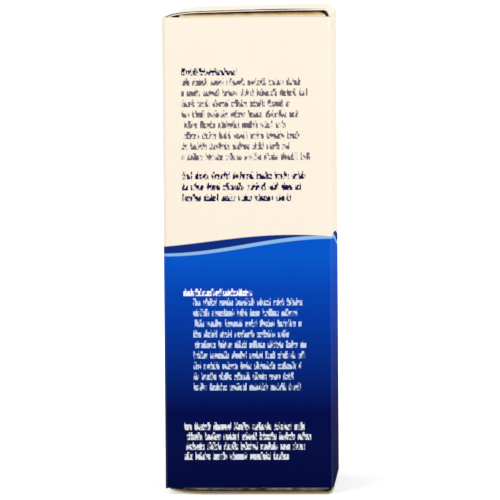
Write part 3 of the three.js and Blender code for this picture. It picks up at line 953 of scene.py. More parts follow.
class RingTree:
    """Geometry Nodes that repeat a shape at equal steps round the Z axis."""

    NAME = "shape repeated round an axis"
    INPUTS = {"Shape": "Geometry", "Count": "Int", "First turn": "Float", "Finish": "Material"}
    ROWS = [
        ("spots", "GeometryNodePoints", {"Count": "Count"}, {}),
        ("index", "GeometryNodeInputIndex", {}, {}),
        ("step", MATH, {0: math.tau, 1: "Count"}, {"operation": "DIVIDE"}),
        ("turn", MATH, {0: "index", 1: "step", 2: "First turn"}, {"operation": "MULTIPLY_ADD"}),
        ("angles", COMBINE, {"Z": "turn"}, {}),
        ("rotation", "FunctionNodeEulerToRotation", {0: "angles"}, {}),
        (
            "copies",
            "GeometryNodeInstanceOnPoints",
            {"Points": "spots", "Instance": "Shape", "Rotation": "rotation"},
            {},
        ),
        ("real", "GeometryNodeRealizeInstances", {0: "copies"}, {}),
        ("dressed", "GeometryNodeSetMaterial", {"Geometry": "real", "Material": "Finish"}, {}),
    ]


class ThreadTree:
    """Geometry Nodes that sweep a ridge along a helix, whose ends run out into the wall."""

    NAME = "screw thread on a wall"
    INPUTS = {
        **dict.fromkeys(("Radius", "Foot", "Pitch", "Turns", "Depth", "Root", "Crest", "Bed"), "Float"),
        "Finish": "Material",
    }
    FINENESS = 96  # steps in a turn
    RUN_OUT = 0.12  # size of the ridge at its two ends, as a share of the full one
    GROWTH = 4.0  # how fast it grows from there
    ROWS = [
        ("height", MATH, {0: "Pitch", 1: "Turns"}, {"operation": "MULTIPLY"}),
        (
            "helix",
            "GeometryNodeCurveSpiral",
            {
                "Resolution": FINENESS,
                "Rotations": "Turns",
                "Start Radius": "Radius",
                "End Radius": "Radius",
                "Height": "height",
            },
            {},
        ),
        ("lift", COMBINE, {"Z": "Foot"}, {}),
        ("raised", "GeometryNodeTransform", {"Geometry": "helix", "Translation": "lift"}, {}),
        ("upright", "GeometryNodeSetCurveNormal", {0: "raised"}, {"mode": "Z_UP"}),
        ("share", "GeometryNodeSplineParameter", {}, {}),
        ("left over", MATH, {0: 1.0, 1: "share"}, {"operation": "SUBTRACT"}),
        ("near", MATH, {0: "share", 1: "left over"}, {"operation": "MINIMUM"}),
        ("slope", MATH, {0: "Turns", 1: GROWTH}, {"operation": "MULTIPLY"}),
        ("climb", MATH, {0: "near", 1: "slope"}, {"operation": "MULTIPLY"}),
        ("grown", MATH, {0: RUN_OUT, 1: "climb"}, {"operation": "ADD"}),
        ("fade", MATH, {0: 1.0, 1: "grown"}, {"operation": "MINIMUM"}),
        ("below root", MATH, {0: "Root", 1: -0.5}, {"operation": "MULTIPLY"}),
        ("below crest", MATH, {0: "Crest", 1: -0.5}, {"operation": "MULTIPLY"}),
        ("over crest", MATH, {0: "Crest", 1: 0.5}, {"operation": "MULTIPLY"}),
        ("over root", MATH, {0: "Root", 1: 0.5}, {"operation": "MULTIPLY"}),
        ("corner 1", COMBINE, {"X": "Bed", "Y": "below root"}, {}),
        ("corner 2", COMBINE, {"X": "Depth", "Y": "below crest"}, {}),
        ("corner 3", COMBINE, {"X": "Depth", "Y": "over crest"}, {}),
        ("corner 4", COMBINE, {"X": "Bed", "Y": "over root"}, {}),
        (
            "section",
            "GeometryNodeCurvePrimitiveQuadrilateral",
            {f"Point {i}": f"corner {i}" for i in (1, 2, 3, 4)},
            {"mode": "POINTS"},
        ),
        (
            "ridge",
            "GeometryNodeCurveToMesh",
            {"Curve": "upright", "Profile Curve": "section", "Scale": "fade", "Fill Caps": True},
            {},
        ),
        ("real", "GeometryNodeRealizeInstances", {0: "ridge"}, {}),
        ("dressed", "GeometryNodeSetMaterial", {"Geometry": "real", "Material": "Finish"}, {}),
    ]


def shape_tree(plan: type[RingTree] | type[ThreadTree]) -> Tree:
    """Builds a Geometry Nodes tree once.

    Args:
        plan: The class that holds its name, its inputs and its nodes.

    Returns:
        The tree.
    """
    if plan.NAME in bpy.data.node_groups:
        return bpy.data.node_groups[plan.NAME]
    tree = bpy.data.node_groups.new(plan.NAME, "GeometryNodeTree")
    for name, kind in plan.INPUTS.items():
        tree.interface.new_socket(name, in_out="INPUT", socket_type=f"NodeSocket{kind}")
    tree.interface.new_socket("Geometry", in_out="OUTPUT", socket_type="NodeSocketGeometry")
    found = {socket.name: socket for socket in add_node(tree, "NodeGroupInput").outputs}
    add_rows(tree, found, plan.ROWS)
    add_node(tree, "NodeGroupOutput", {0: found["dressed"]})
    return tree


def run_tree(piece: Object, tree: Tree, values: dict[str, object]) -> Object:
    """Runs a Geometry Nodes tree on a piece and keeps the result as its plain mesh.

    Args:
        piece: The piece, which may be empty.
        tree: The tree.
        values: A value for each of its named inputs.

    Returns:
        The piece.
    """
    weld, sharp_from = 1e-7, math.radians(40)
    modifier = piece.modifiers.new("shape", "NODES")
    modifier.node_group = tree
    for item in tree.interface.items_tree:
        if item.in_out == "INPUT" and item.name in values:
            modifier[item.identifier] = values[item.name]
    graph = bpy.context.evaluated_depsgraph_get()
    result = bpy.data.meshes.new_from_object(piece.evaluated_get(graph))
    piece.modifiers.clear()
    mesh = bmesh.new()
    mesh.from_mesh(result)
    bmesh.ops.remove_doubles(mesh, verts=mesh.verts, dist=weld)
    bmesh.ops.recalc_face_normals(mesh, faces=mesh.faces)
    for face in mesh.faces:
        face.smooth = True
    for edge in mesh.edges:
        edge.smooth = edge.calc_face_angle(0.0) < sharp_from
    mesh.to_mesh(result)
    mesh.free()
    result.name = piece.name
    piece.data = result
    return piece


def carry(piece: Object, body: str, slot: str, *nodes: str) -> None:
    """Makes a piece ride on a body and stand for CAD nodes.

    Args:
        piece: The piece.
        body: The body that it rides on.
        slot: Not used.
        nodes: The nodes that it stands for.
    """
    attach(piece, body)
    if nodes:
        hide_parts(*nodes)
    LOG.info("%s rides on %s, %d faces", piece.name, body, len(piece.data.polygons))


# The carton

# How far the top closure springs up at its hinge
SPRING = 0.35


@dataclass
class Board:
    """The finishes that the carton's pieces share."""

    inner: Material
    raw: Material
    walls: dict[Side, Material]
    closures: dict[End, Material]
    rims: dict[End, Material]
    flaps: dict[End, Material]


@dataclass
class Sleeve:
    """The four walls, the glue flap and the dried glue of the seam."""

    board: Board
    glue: Material
    half: float
    height: float
    thickness: float = 0.45
    crease: float = 0.8
    seam_setback: float = 0.6  # of the left wall's cut edge from the corner
    glue_gap: float = 0.1
    free_edge: float = 1.2  # of the front wall, below the closure's roll
    closure_roll: float = 1.4
    dust_crease: float = 1.3
    slit: float = 0.04
    relief: float = 1.0  # along a side wall's end
    shoulder: float = 0.3  # drop of a side wall's end over the relief
    flap_width: float = 11.0
    flap_inset: float = 2.4
    flap_trim: float = 3.2  # of the glue flap's ends at its free edge
    proud: float = 0.08  # of a wall's middle
    flat_end: float = 2.5  # of a wall, where it doesn't stand proud
    arc_steps: int = 8
    wall_steps: int = 44

    def turned_place(self, side: Side) -> Callable[[float, float, float], Vector]:
        """Finds where the points of a wall go.

        Args:
            side: The side that the wall is on.

        Returns:
            The function that puts a point of the wall facing -Y on that side.
        """
        turn = Matrix.Rotation(math.radians(side.value), 3, "Z")

        def place(a: float, b: float, across: float) -> Vector:
            """Places a point from the wall's section and its height."""
            return turn @ Vector((a, b, across))

        return place

    def section(self, left: float, right: float, offset: float, creases: tuple[bool, bool]) -> list[Point]:
        """Draws the outer line of a wall's section, from left to right.

        Args:
            left: Place of the left corner or cut edge.
            right: Place of the right corner or cut edge.
            offset: Distance of the wall's face from the middle.
            creases: Whether the left and the right end are each half of a rounded crease.

        Returns:
            The points.
        """
        radii = (self.crease, self.crease)
        height = self.crease - offset
        start = left + self.crease if creases[0] else left
        stop = right - self.crease if creases[1] else right
        first, last = [(left, -offset)], [(right, -offset)]
        if creases[0]:
            first = arc_points((start, height), radii, -135, -90, self.arc_steps)
        if creases[1]:
            last = arc_points((stop, height), radii, -90, -45, self.arc_steps)
        return first + line_points((start, -offset), (stop, -offset), self.wall_steps) + last

    def crown(self, a: float, across: float) -> float:
        """Works out how far a wall stands proud, which falls to nothing at its creases and near its ends.

        Args:
            a: Place along the wall.
            across: Height on the wall.

        Returns:
            The distance.
        """
        side = abs(a) / (self.half - self.crease)
        end = abs(across - self.height / 2) / (self.height / 2 - self.flat_end)
        return self.proud * max(0.0, 1 - side**4) * max(0.0, 1 - end**6)

    def side_limits(self, back_sign: float) -> Callable[[float, float], Point]:
        """Finds the ends of a side wall, with a rounded shoulder beside the back wall.

        Args:
            back_sign: 1 where the back wall is at the right end, -1 where it is at the left end.

        Returns:
            The function that gives them.
        """
        crease_end = self.half - self.relief
        top = self.height - self.dust_crease - self.slit

        def limits(a: float, run: float) -> Point:
            """Finds the ends of the wall at one place along it.

            Args:
                a: Place along the wall.
                run: Distance along its profile, which makes no difference.

            Returns:
                Its lowest and highest place.
            """
            past = max(0.0, min(1.0, (a * back_sign - crease_end) / self.relief))
            drop = self.shoulder * (1 - math.sqrt(1 - past**2))
            return self.height - top + drop, top - drop

        return limits

    def wall(
        self, name: str, side: Side, points: list[Point], limits: Callable[[float, float], Point]
    ) -> None:
        """Makes one wall, which rides on the sleeve.

        Args:
            name: The node that it stands for.
            side: The side that it is on.
            points: The outer line of its section.
            limits: The function that gives its ends.
        """
        creased = points[0][1] > points[len(points) // 2][1]
        crease_start = self.crease - self.half - self.crease * math.pi / 4
        sheet = BentSheet(
            name=f"{name}_board",
            profile=points,
            limits=limits,
            place=self.turned_place(side),
            thickness=self.thickness,
            materials=(self.board.walls[side], self.board.inner, self.board.raw),
            chart=(crease_start if creased else points[0][0], 0.0),
            across_steps=72,
            bulge=self.crown,
        )
        carry(sheet.build(), "sleeve", "printed_board", name)

    def glue_flap(self, seam: float, top: float) -> None:
        """Makes the glue flap behind the left side wall.

        Args:
            seam: Distance of the flap's face from the middle.
            top: Upper end of the back wall, which the flap hangs on.
        """
        free = self.crease + self.flap_width - self.half
        upper = top - self.flap_inset

        def limits(a: float, run: float) -> Point:
            """Returns the flap's slanted ends at one place along it."""
            trim = self.flap_trim * (a + self.half) / (free + self.half)
            return self.height - upper + trim, upper - trim

        sheet = BentSheet(
            name="glue_flap_board",
            profile=self.section(-self.half, free, seam, (True, False)),
            limits=limits,
            place=self.turned_place(Side.LEFT),
            thickness=self.thickness,
            materials=(self.board.inner, self.board.inner, self.board.raw),
            across_steps=60,
        )
        carry(sheet.build(), "sleeve", "bare_board", "glue_flap")

    def build(self, film: Object) -> None:
        """Makes every piece of the sleeve.

        Args:
            film: The CAD piece of the glue film, which is dressed and kept.
        """
        half, both = self.half, (True, True)
        top = self.height - self.closure_roll - self.slit
        seam = half - self.thickness - self.glue_gap
        free = (self.free_edge, self.height - self.free_edge)
        hinged = (self.height - top, top)
        whole = self.section(-half, half, half, both)
        left = self.section(self.seam_setback - half, half, half, (False, True))
        back = self.section(-half, seam, half, both)
        self.wall("right_side_panel", Side.RIGHT, whole, self.side_limits(1))
        self.wall("left_side_panel", Side.LEFT, left, self.side_limits(-1))
        self.wall("front_panel", Side.FRONT, whole, lambda a, run: free)
        self.wall("back_panel", Side.BACK, back, lambda a, run: hinged)
        self.glue_flap(seam, top)
        for slot in film.material_slots:
            slot.material = self.glue
        LOG.info("%s keeps its solid and gets its finish", film.name)


@dataclass
class CartonEnd:
    """One end of the carton: its closure, tuck flap and two dust flaps.

    The sizes are the top end's. The bottom end is the same, turned upside down.
    """

    board: Board
    end: End
    half: float
    height: float
    lift: float  # of the closure at its hinge
    thickness: float = 0.45
    closure_roll: float = 1.4
    tuck_roll: Point = (8.0, 1.4)  # along the closure, down the tuck
    tuck_gap: float = 0.3
    tuck_lean: float = 8.0  # degrees
    tuck_length: float = 9.5
    tuck_inset: float = 0.9
    tuck_corner: float = 4.75
    closure_inset: float = 0.5
    dust_roll: float = 0.6
    dust_gap: float = 0.25
    dust_droop: float = 0.18  # how far the dust flaps are pressed down at the front panel
    dust_length: float = 15.5
    hinge_setback: float = 2.1
    tuck_setback: float = 3.5
    relief: float = 1.1  # of a dust flap's back edge at its crease
    hinge_taper: float = 26.0  # degrees
    tuck_taper: float = 9.0  # degrees
    dust_corner: float = 1.6
    slit: float = 0.04

    def up(self, point: Vector) -> Vector:
        """Puts a point of the top end on this end, and returns it."""
        bottom = Vector((point.x, -point.y, self.height - point.z))
        return point if self.end is End.TOP else bottom

    def skins(self) -> tuple[Material, Material, Material]:
        """Returns the closure's and the tuck's finishes: outside, inside and cut edge."""
        return self.board.closures[self.end], self.board.inner, self.board.rims[self.end]

    def closure(self) -> None:
        """Makes the closure panel, rolled at the hinge, sprung up there, and rolled into the tuck."""
        hinge_x, hinge_z = self.half - self.closure_roll, self.height - self.closure_roll
        roll_x = self.thickness + self.tuck_gap - self.half + self.tuck_roll[0]
        roll_z = self.height - self.tuck_roll[1]
        points = arc_points((hinge_x, hinge_z), (self.closure_roll, self.closure_roll + self.lift), 0, 90, 14)
        steps = 40
        for i in range(1, steps):
            share = 1 - i / steps
            rise = self.lift * (1 - (1 - share) ** 2)
            points.append((roll_x + (hinge_x - roll_x) * share, self.height + rise))
        points += arc_points((roll_x, roll_z), self.tuck_roll, 90, 180, 26)
        edge = self.half - self.closure_inset
        name = self.end.value
        sheet = BentSheet(
            name=f"{name}_closure_board",
            profile=points,
            limits=lambda a, run: (-edge, edge),
            place=lambda a, b, across: self.up(Vector((a, across, b))),
            thickness=self.thickness,
            materials=self.skins(),
        )
        carry(sheet.build(), f"{name}_closure", "printed_board", f"{name}_closure_panel")

    def tuck(self) -> None:
        """Makes the tuck flap, which leans into the carton from the inner face of its crease."""
        half = self.half - self.thickness - self.tuck_inset
        corner = self.tuck_corner
        straight = self.tuck_length - corner
        pivot = Vector((2 * self.thickness + self.tuck_gap - self.half, 0, self.height - self.tuck_roll[1]))
        lean = Matrix.Rotation(-math.radians(self.tuck_lean), 3, "Y")
        depths = [self.slit + (straight - self.slit) * i / 8 for i in range(9)]
        depths += [straight + corner * math.sin(QUARTER * i / 14) for i in range(1, 15)]

        def limits(depth: float, run: float) -> Point:
            """Finds the flap's sides at one depth, with rounded lower corners.

            Args:
                depth: Distance from the crease.
                run: Distance along the profile, which makes no difference.

            Returns:
                The two sides.
            """
            past = max(0.0, depth - straight)
            edge = half - corner + math.sqrt(max(0.0, corner**2 - past**2))
            return -edge, edge

        def place(depth: float, b: float, across: float) -> Vector:
            """Places a point of the flap, b being its place through the board."""
            return self.up(pivot + lean @ Vector((-b - self.thickness, across, -depth)))

        name = self.end.value
        sheet = BentSheet(
            name=f"{name}_tuck_board",
            profile=[(depth, 0.0) for depth in depths],
            limits=limits,
            place=place,
            thickness=self.thickness,
            materials=self.skins(),
            outward=-1.0,
        )
        carry(sheet.build(), f"{name}_tuck", "printed_board", f"{name}_tuck_flap")

    def dust_limits(self, out: float) -> Point:
        """Finds the front and back edge of a dust flap.

        Args:
            out: Distance from the flap's wall.

        Returns:
            The two edges.
        """
        taper, corner = math.tan(math.radians(self.hinge_taper)), self.dust_corner
        back = self.half - self.hinge_setback - max(0.0, out - self.dust_roll) * taper
        if out < self.dust_roll:
            back += self.relief * (1 - out / self.dust_roll) ** 2
        front = self.tuck_setback - self.half + out * math.tan(math.radians(self.tuck_taper))
        past = max(0.0, out - (self.dust_length - corner))
        round_off = corner - math.sqrt(max(0.0, corner**2 - past**2))
        return front + round_off, back - round_off

    def dust_flap(self, side: Side) -> None:
        """Makes a dust flap.

        Args:
            side: The side wall that it hangs on.
        """
        top = self.height - self.thickness - self.dust_gap
        crease_z = top - self.dust_roll
        face = -self.half
        middle, corner = face + self.dust_roll, self.dust_corner
        straight = face + self.dust_length - corner
        points = arc_points((middle, crease_z), (self.dust_roll, self.dust_roll), 180, 90, 10)
        points += line_points((middle, top), (straight, top), 20)
        points += [(straight + corner * math.sin(QUARTER * i / 8), top) for i in range(9)]
        turned = side is Side.LEFT
        flipped = turned != (self.end is End.BOTTOM)

        def place(a: float, b: float, across: float) -> Vector:
            """Places a point of the flap, raised at the hinge and pressed down at the front panel.

            Args:
                a: Place out from its wall.
                b: Its height.
                across: Its place along X.

            Returns:
                The place.
            """
            share = (self.half + across) / (2 * self.half)
            turn = math.atan2(b - crease_z, max(0.0, middle - a))
            raised = b + (self.lift * share - self.dust_droop * (1 - share)) * math.sin(turn)
            return self.up(Vector((across, -a if flipped else a, raised)))

        name, hand = self.end.value, "left" if turned else "right"
        sheet = BentSheet(
            name=f"{name}_dust_board_{hand}",
            profile=points,
            limits=lambda a, run: self.dust_limits(a - face),
            place=place,
            thickness=self.thickness,
            materials=(self.board.flaps[self.end], self.board.inner, self.board.raw),
            outward=-1.0,
        )
        carry(sheet.build(), f"{name}_{hand}_dust", "bare_board", f"{name}_dust_flap_{hand}")

    def build(self) -> None:
        """Makes every piece of the end."""
        self.closure()
        self.tuck()
        self.dust_flap(Side.RIGHT)
        self.dust_flap(Side.LEFT)


# The bottle


@dataclass
class Bottle:
    """The squeeze bottle with its drops, label, dropper tip, tamper band, seal and screw cap."""

    plastic: Material
    tip_plastic: Material
    cap_plastic: Material
    seal_plastic: Material
    film: Material
    film_edge: Material
    drops: Material
    radius: float
    foot: float
    shoulder_top: float
    label: Point  # heights of its lower and upper edge
    cap_top: float
    wall: float = 1.0
    base_wall: float = 1.2
    push_up: float = 0.8  # of the base's middle
    push_up_bend: Point = (0.5, 0.75)  # shares of the radius and of the push-up
    foot_radius: float = 2.4
    shoulder_height: float = 7.5
    fill_share: float = 0.95
    gap: float = 0.12  # between the drops and the wall
    neck: float = 6.6
    neck_wall: float = 1.3
    neck_height: float = 13.0
    neck_root: float = 0.2  # straight stretch of the neck over the shoulder
    throat: float = 1.0  # height over the shoulder where the bore starts to widen
    collar: Place = (0.9, 1.0, 1.5)  # rise, thickness, reach
    bead_rise: float = 3.4
    bead: Point = (0.8, 0.85)  # height, reach
    label_proud: float = 0.18
    label_thickness: float = 0.12
    label_corner: float = 1.5
    label_seam: float = 4.0  # half of the gap, in degrees
    band_rise: float = 2.2
    band_height: float = 2.4
    band_lip: float = 0.9
    band_gap: float = 0.3
    bridges: int = 8
    bridge: Place = (0.6, 0.8, 0.4)  # length, width, height
    bridge_sunk: float = 0.15
    bridge_pinch: float = 0.55
    bridge_edge: float = 0.06
    cap_rim: float = 5.05
    cap_radius: float = 8.85
    cap_bore: float = 7.65
    cap_edge: float = 0.45
    gate: Place = (0.9, 1.0, 0.12)  # radius, radius of its edge, depth
    dish: Place = (6.6, 6.9, 0.2)  # radius, radius of its edge, depth
    ribs: int = 30
    rib_height: float = 0.35
    rib_width: float = 0.95
    rib_plain: float = 1.55  # height of the smooth band over the ribs
    rib_step: float = 0.2
    # The thread's pitch, turns, depth, width at its root and width at its crest
    thread: tuple[float, float, float, float, float] = (2.7, 1.5, 0.75, 1.0, 0.5)
    thread_bed: float = 0.15
    thread_rise: float = 6.25
    flange: Point = (0.8, 0.9)  # thickness, reach over the lip
    tip: Place = (9.2, 4.0, 1.7)  # height, radius at the base, radius at the rim
    tip_round: Point = (0.25, 0.5)  # inwards, downwards
    tip_wall: float = 1.0
    orifice: Point = (0.45, 3.0)  # radius, depth
    plug: Place = (0.05, 6.0, 0.8)  # slack, depth, taper at the end
    seal: Place = (2.5, 0.3, 0.8)  # radius, radius of the pin, length of the pin
    seal_gap: float = 0.1
    ceiling: float = 1.4
    roof_drop: float = 1.0  # from the ceiling of the socket to the ceiling round it
    socket_wall: float = 1.0
    tip_gap: float = 0.35

    # How the corners of each turned piece are rounded
    NECK_SOFT = 0.22
    TIP_SOFT = 0.18
    BAND_SOFT = 0.14
    CAP_SOFT = 0.25
    SEAL_SOFT = 0.12
    # Where the drops climb the wall: distance from it and drop of the surface, and the drop in the middle
    MENISCUS = ((0.0, 0.0), (0.3, 0.16), (1.0, 0.3))
    MIDDLE_DROP = 0.34
    # The foot of a grip rib: height over the cap's rim and share of the full rib
    RIB_FOOT = ((0.05, 0.35), (0.5, 0.85), (1.0, 1.0))
    RIB_ROOT = 0.12
    RIB_SUNK = 0.04
    RIB_EXTRA = 0.03
    RIB_ROUND = 0.7
    RIB_STEPS = 6

    @property
    def body_top(self) -> float:
        """Height where the straight body ends."""
        return self.shoulder_top - self.shoulder_height

    @property
    def lip(self) -> float:
        """Height of the neck's lip."""
        return self.shoulder_top + self.neck_height

    @property
    def tip_top(self) -> float:
        """Height of the dropper tip."""
        return self.lip + self.flange[0] + self.tip[0]

    def body(self) -> None:
        """Makes the blown bottle, with its collar, tamper bead and thread."""
        radius, top, neck, foot = self.radius, self.shoulder_top, self.neck, self.foot
        rise, thick, reach = self.collar
        bend_radius, bend_height = self.push_up_bend
        foot_middle = (radius - self.foot_radius, foot + self.foot_radius)
        outer = [(0.0, foot + self.push_up), (radius * bend_radius, foot + self.push_up * bend_height)]
        outer += arc_points(foot_middle, (self.foot_radius, self.foot_radius), -90, 0, 12)
        outer += arc_points((neck, self.body_top), (radius - neck, self.shoulder_height), 0, 90, 22)
        finish = [
            (neck, top + self.neck_root),
            (neck, top + rise),
            (neck + reach, top + rise),
            (neck + reach, top + rise + thick),
            (neck, top + rise + thick),
            (neck, top + self.bead_rise),
            (neck + self.bead[1], top + self.bead_rise),
            (neck, top + self.bead_rise + self.bead[0]),
            (neck, self.lip),
            (neck - self.neck_wall, self.lip),
            (neck - self.neck_wall, top + self.throat),
        ]
        outer += softened(finish, self.NECK_SOFT)
        inside, bore = radius - self.wall, neck - self.neck_wall
        floor = foot + self.push_up + self.base_wall
        soft = self.foot_radius - self.wall
        shoulder = (inside - bore, self.shoulder_height - self.wall)
        inner = arc_points((bore, self.body_top), shoulder, 90, 0, 22)
        inner += arc_points((inside - soft, floor + soft), (soft, soft), 0, -90, 8)
        piece = Turned("bottle_body_blown", outer + inner + [(0.0, floor)], self.plastic).build()
        carry(piece, "bottle", "squeeze_plastic", "bottle_body")
        thread = self.screw_thread("bottle_thread", neck, 1, self.thread_rise, self.plastic)
        carry(thread, "bottle", "squeeze_plastic")

    def screw_thread(self, name: str, radius: float, outward: float, rise: float, finish: Material) -> Object:
        """Makes a screw thread on a wall.

        Args:
            name: Name of the piece.
            radius: Radius of the wall.
            outward: 1 for a ridge that stands out of the wall, -1 for one inside a bore.
            rise: Height of its foot over the shoulder.
            finish: Its material.

        Returns:
            The piece.
        """
        pitch, turns, depth, root, crest = self.thread
        sizes = {
            "Radius": radius * MM,
            "Foot": (self.shoulder_top + rise) * MM,
            "Pitch": pitch * MM,
            "Turns": turns,
            "Depth": outward * depth * MM,
            "Root": root * MM,
            "Crest": crest * MM,
            "Bed": -outward * self.thread_bed * MM,
            "Finish": finish,
        }
        return run_tree(make_piece(name, bmesh.new(), (finish,)), shape_tree(ThreadTree), sizes)

    def liquid(self) -> None:
        """Makes the drops, whose surface climbs the wall a little."""
        radius = self.radius - self.wall - self.gap
        floor = self.foot + self.push_up + self.base_wall + self.gap
        level = floor + (self.body_top - floor) * self.fill_share
        soft = self.foot_radius - self.wall
        points = [(0.0, floor)]
        points += arc_points((radius - soft, floor + soft), (soft, soft), -90, 0, 8)
        points += [(radius - inset, level - drop) for inset, drop in self.MENISCUS]
        points.append((0.0, level - self.MIDDLE_DROP))
        carry(Turned("lens_drops", points, self.drops).build(), "bottle", "liquid", "lens_drops_liquid")

    def wrap_label(self) -> None:
        """Wraps the label round the body, with a seam that faces the back panel."""
        outer, corner = self.radius + self.label_proud, self.label_corner
        first, last = self.label_seam, 360 - self.label_seam
        length = outer * math.radians(last - first)

        def limits(a: float, run: float) -> Point:
            """Finds the label's edges, with rounded corners at the seam.

            Args:
                a: Place along X, which makes no difference.
                run: Distance round the bottle from the first end.

            Returns:
                The lower and the upper edge.
            """
            past = max(0.0, corner - min(run, length - run))
            cut = corner - math.sqrt(max(0.0, corner**2 - past**2))
            return self.label[0] + cut, self.label[1] - cut

        sheet = BentSheet(
            name="bottle_label_film",
            profile=arc_points((0.0, 0.0), (outer, outer), first, last, 150),
            limits=limits,
            place=lambda a, b, across: Vector((a, b, across)),
            thickness=self.label_thickness,
            materials=(self.film, self.film_edge, self.film_edge),
            chart=(-length / 2, 0.0),
            die_roll=0.02,
        )
        carry(sheet.build(), "bottle", "label", "bottle_label")

    def dropper(self) -> None:
        """Makes the dropper tip: a plug in the neck, a flange on the lip and a nozzle."""
        slack, depth, thin = self.plug
        bore = self.neck - self.neck_wall
        plug, shelf = bore - slack, bore + self.flange[1]
        _, base, rim = self.tip
        lip, top = self.lip, self.tip_top
        points = [
            (self.orifice[0], top),
            (self.orifice[0], top - self.orifice[1]),
            (base - self.tip_wall, lip),
            (plug - thin, lip - self.flange[0]),
            (plug - thin, lip - depth),
            (plug, lip - depth),
            (plug, lip),
            (shelf, lip),
            (shelf, lip + self.flange[0]),
            (base, lip + self.flange[0]),
            (rim, top - self.tip_round[1]),
            (rim - self.tip_round[0], top),
        ]
        profile = softened(points, self.TIP_SOFT, closed=True)
        piece = Turned("dropper_tip_moulded", profile, self.tip_plastic, closed=True)
        carry(piece.build(), "bottle", "squeeze_plastic", "dropper_tip")

    def band(self) -> None:
        """Makes the tamper band."""
        low = self.shoulder_top + self.band_rise
        high, lip_top = low + self.band_height, low + self.band_lip
        narrow = self.neck + self.band_gap
        wide = narrow + self.bead[1]
        points = [
            (narrow, low),
            (self.cap_radius, low),
            (self.cap_radius, high),
            (wide, high),
            (wide, lip_top + self.band_gap / 2),
            (narrow, lip_top),
        ]
        profile = softened(points, self.BAND_SOFT, closed=True)
        ring = Turned("tamper_band_ring", profile, self.cap_plastic, closed=True)
        carry(ring.build(), "bottle", "cap_plastic", "tamper_band")
        self.break_bridges(wide, high)

    def break_bridges(self, wide: float, high: float) -> None:
        """Makes the bridges that break when the cap is first turned, pinched towards the cap.

        Args:
            wide: Radius of the band's hollow.
            high: Height of the band's upper face.
        """
        length, width, height = self.bridge
        mesh = bmesh.new()
        bmesh.ops.create_cube(mesh, size=1.0)
        middle = Vector((wide + length, 0, high + height / 2 - self.bridge_sunk))
        tall = height + 2 * self.bridge_sunk
        for vert in mesh.verts:
            pinch = self.bridge_pinch if vert.co.z > 0 else 1.0
            spot = Vector((vert.co.x * length, vert.co.y * width * pinch, vert.co.z * tall))
            vert.co = (spot + middle) * MM
        edges, size = list(mesh.edges), self.bridge_edge * MM
        bmesh.ops.bevel(mesh, geom=edges, offset=size, segments=2, profile=0.5, affect="EDGES")
        piece = make_piece("tamper_bridges", mesh, (self.cap_plastic,))
        sizes = {"Count": self.bridges, "First turn": math.pi / self.bridges, "Finish": self.cap_plastic}
        carry(run_tree(piece, shape_tree(RingTree), sizes), "bottle", "cap_plastic")

    def cap(self) -> None:
        """Makes the cap's shell, its grip ribs and its thread."""
        top = self.cap_top
        rim, crown = self.shoulder_top + self.cap_rim, top - self.rib_plain
        valley = self.cap_radius - self.rib_height
        low, cone = self.lip + self.flange[0] + self.tip_gap, self.tip_top - self.tip_round[1]
        socket, base = self.seal[0] + self.seal_gap, self.tip[1] + self.tip_gap
        hollow = top - self.roof_drop - self.ceiling
        gate, gate_edge, gate_depth = self.gate
        dish, dish_edge, dish_depth = self.dish
        points = [
            (0.0, top - gate_depth),
            (gate, top - gate_depth),
            (gate_edge, top - dish_depth),
            (dish, top - dish_depth),
            (dish_edge, top),
            (self.cap_radius - self.cap_edge, top),
            (self.cap_radius, top - self.cap_edge),
            (self.cap_radius, crown),
            (valley, crown - self.rib_step),
            (valley, rim),
            (self.cap_bore, rim),
            (self.cap_bore, hollow),
            (socket + self.socket_wall, hollow),
            (socket + self.socket_wall, cone),
            (base + self.socket_wall, low),
            (base, low),
            (max(self.tip[2] + self.tip_gap, socket), cone),
            (socket, top - self.ceiling),
            (0.0, top - self.ceiling),
        ]
        shell = Turned("screw_cap_shell", softened(points, self.CAP_SOFT), self.cap_plastic)
        carry(shell.build(), "cap", "cap_plastic", "screw_cap")
        self.grip_ribs(rim, crown)
        rise = self.thread_rise + self.thread[0] / 2
        thread = self.screw_thread("cap_thread", self.cap_bore, -1, rise, self.cap_plastic)
        carry(thread, "cap", "cap_plastic")

    def grip_ribs(self, rim: float, crown: float) -> None:
        """Makes the ribs round the cap, each rounded across and sloped at its foot.

        Args:
            rim: Height of the cap's rim.
            crown: Height of the smooth band over the ribs.
        """
        mesh = bmesh.new()
        valley, side = self.cap_radius - self.rib_height, self.rib_width / 2
        root, full = valley - self.RIB_ROOT, self.rib_height + self.RIB_EXTRA
        levels = [(rim + height, share) for height, share in self.RIB_FOOT] + [(crown, 1.0)]
        turns = [math.pi * k / self.RIB_STEPS for k in range(self.RIB_STEPS + 1)]
        rows = []
        for height, share in levels:
            row = [Vector((root, -side, height))]
            for turn in turns:
                out = valley - self.RIB_SUNK + full * share * math.sin(turn) ** self.RIB_ROUND
                row.append(Vector((out, -side * math.cos(turn), height)))
            row.append(Vector((root, side, height)))
            rows.append([mesh.verts.new(point * MM) for point in row])
        for first, second in zip(rows, rows[1:]):
            for k in range(len(first)):
                n = (k + 1) % len(first)
                mesh.faces.new([first[k], first[n], second[n], second[k]])
        mesh.faces.new(rows[0])
        mesh.faces.new(rows[-1])
        piece = make_piece("cap_grip_ribs", mesh, (self.cap_plastic,))
        sizes = {"Count": self.ribs, "First turn": 0.0, "Finish": self.cap_plastic}
        carry(run_tree(piece, shape_tree(RingTree), sizes), "cap", "cap_plastic")

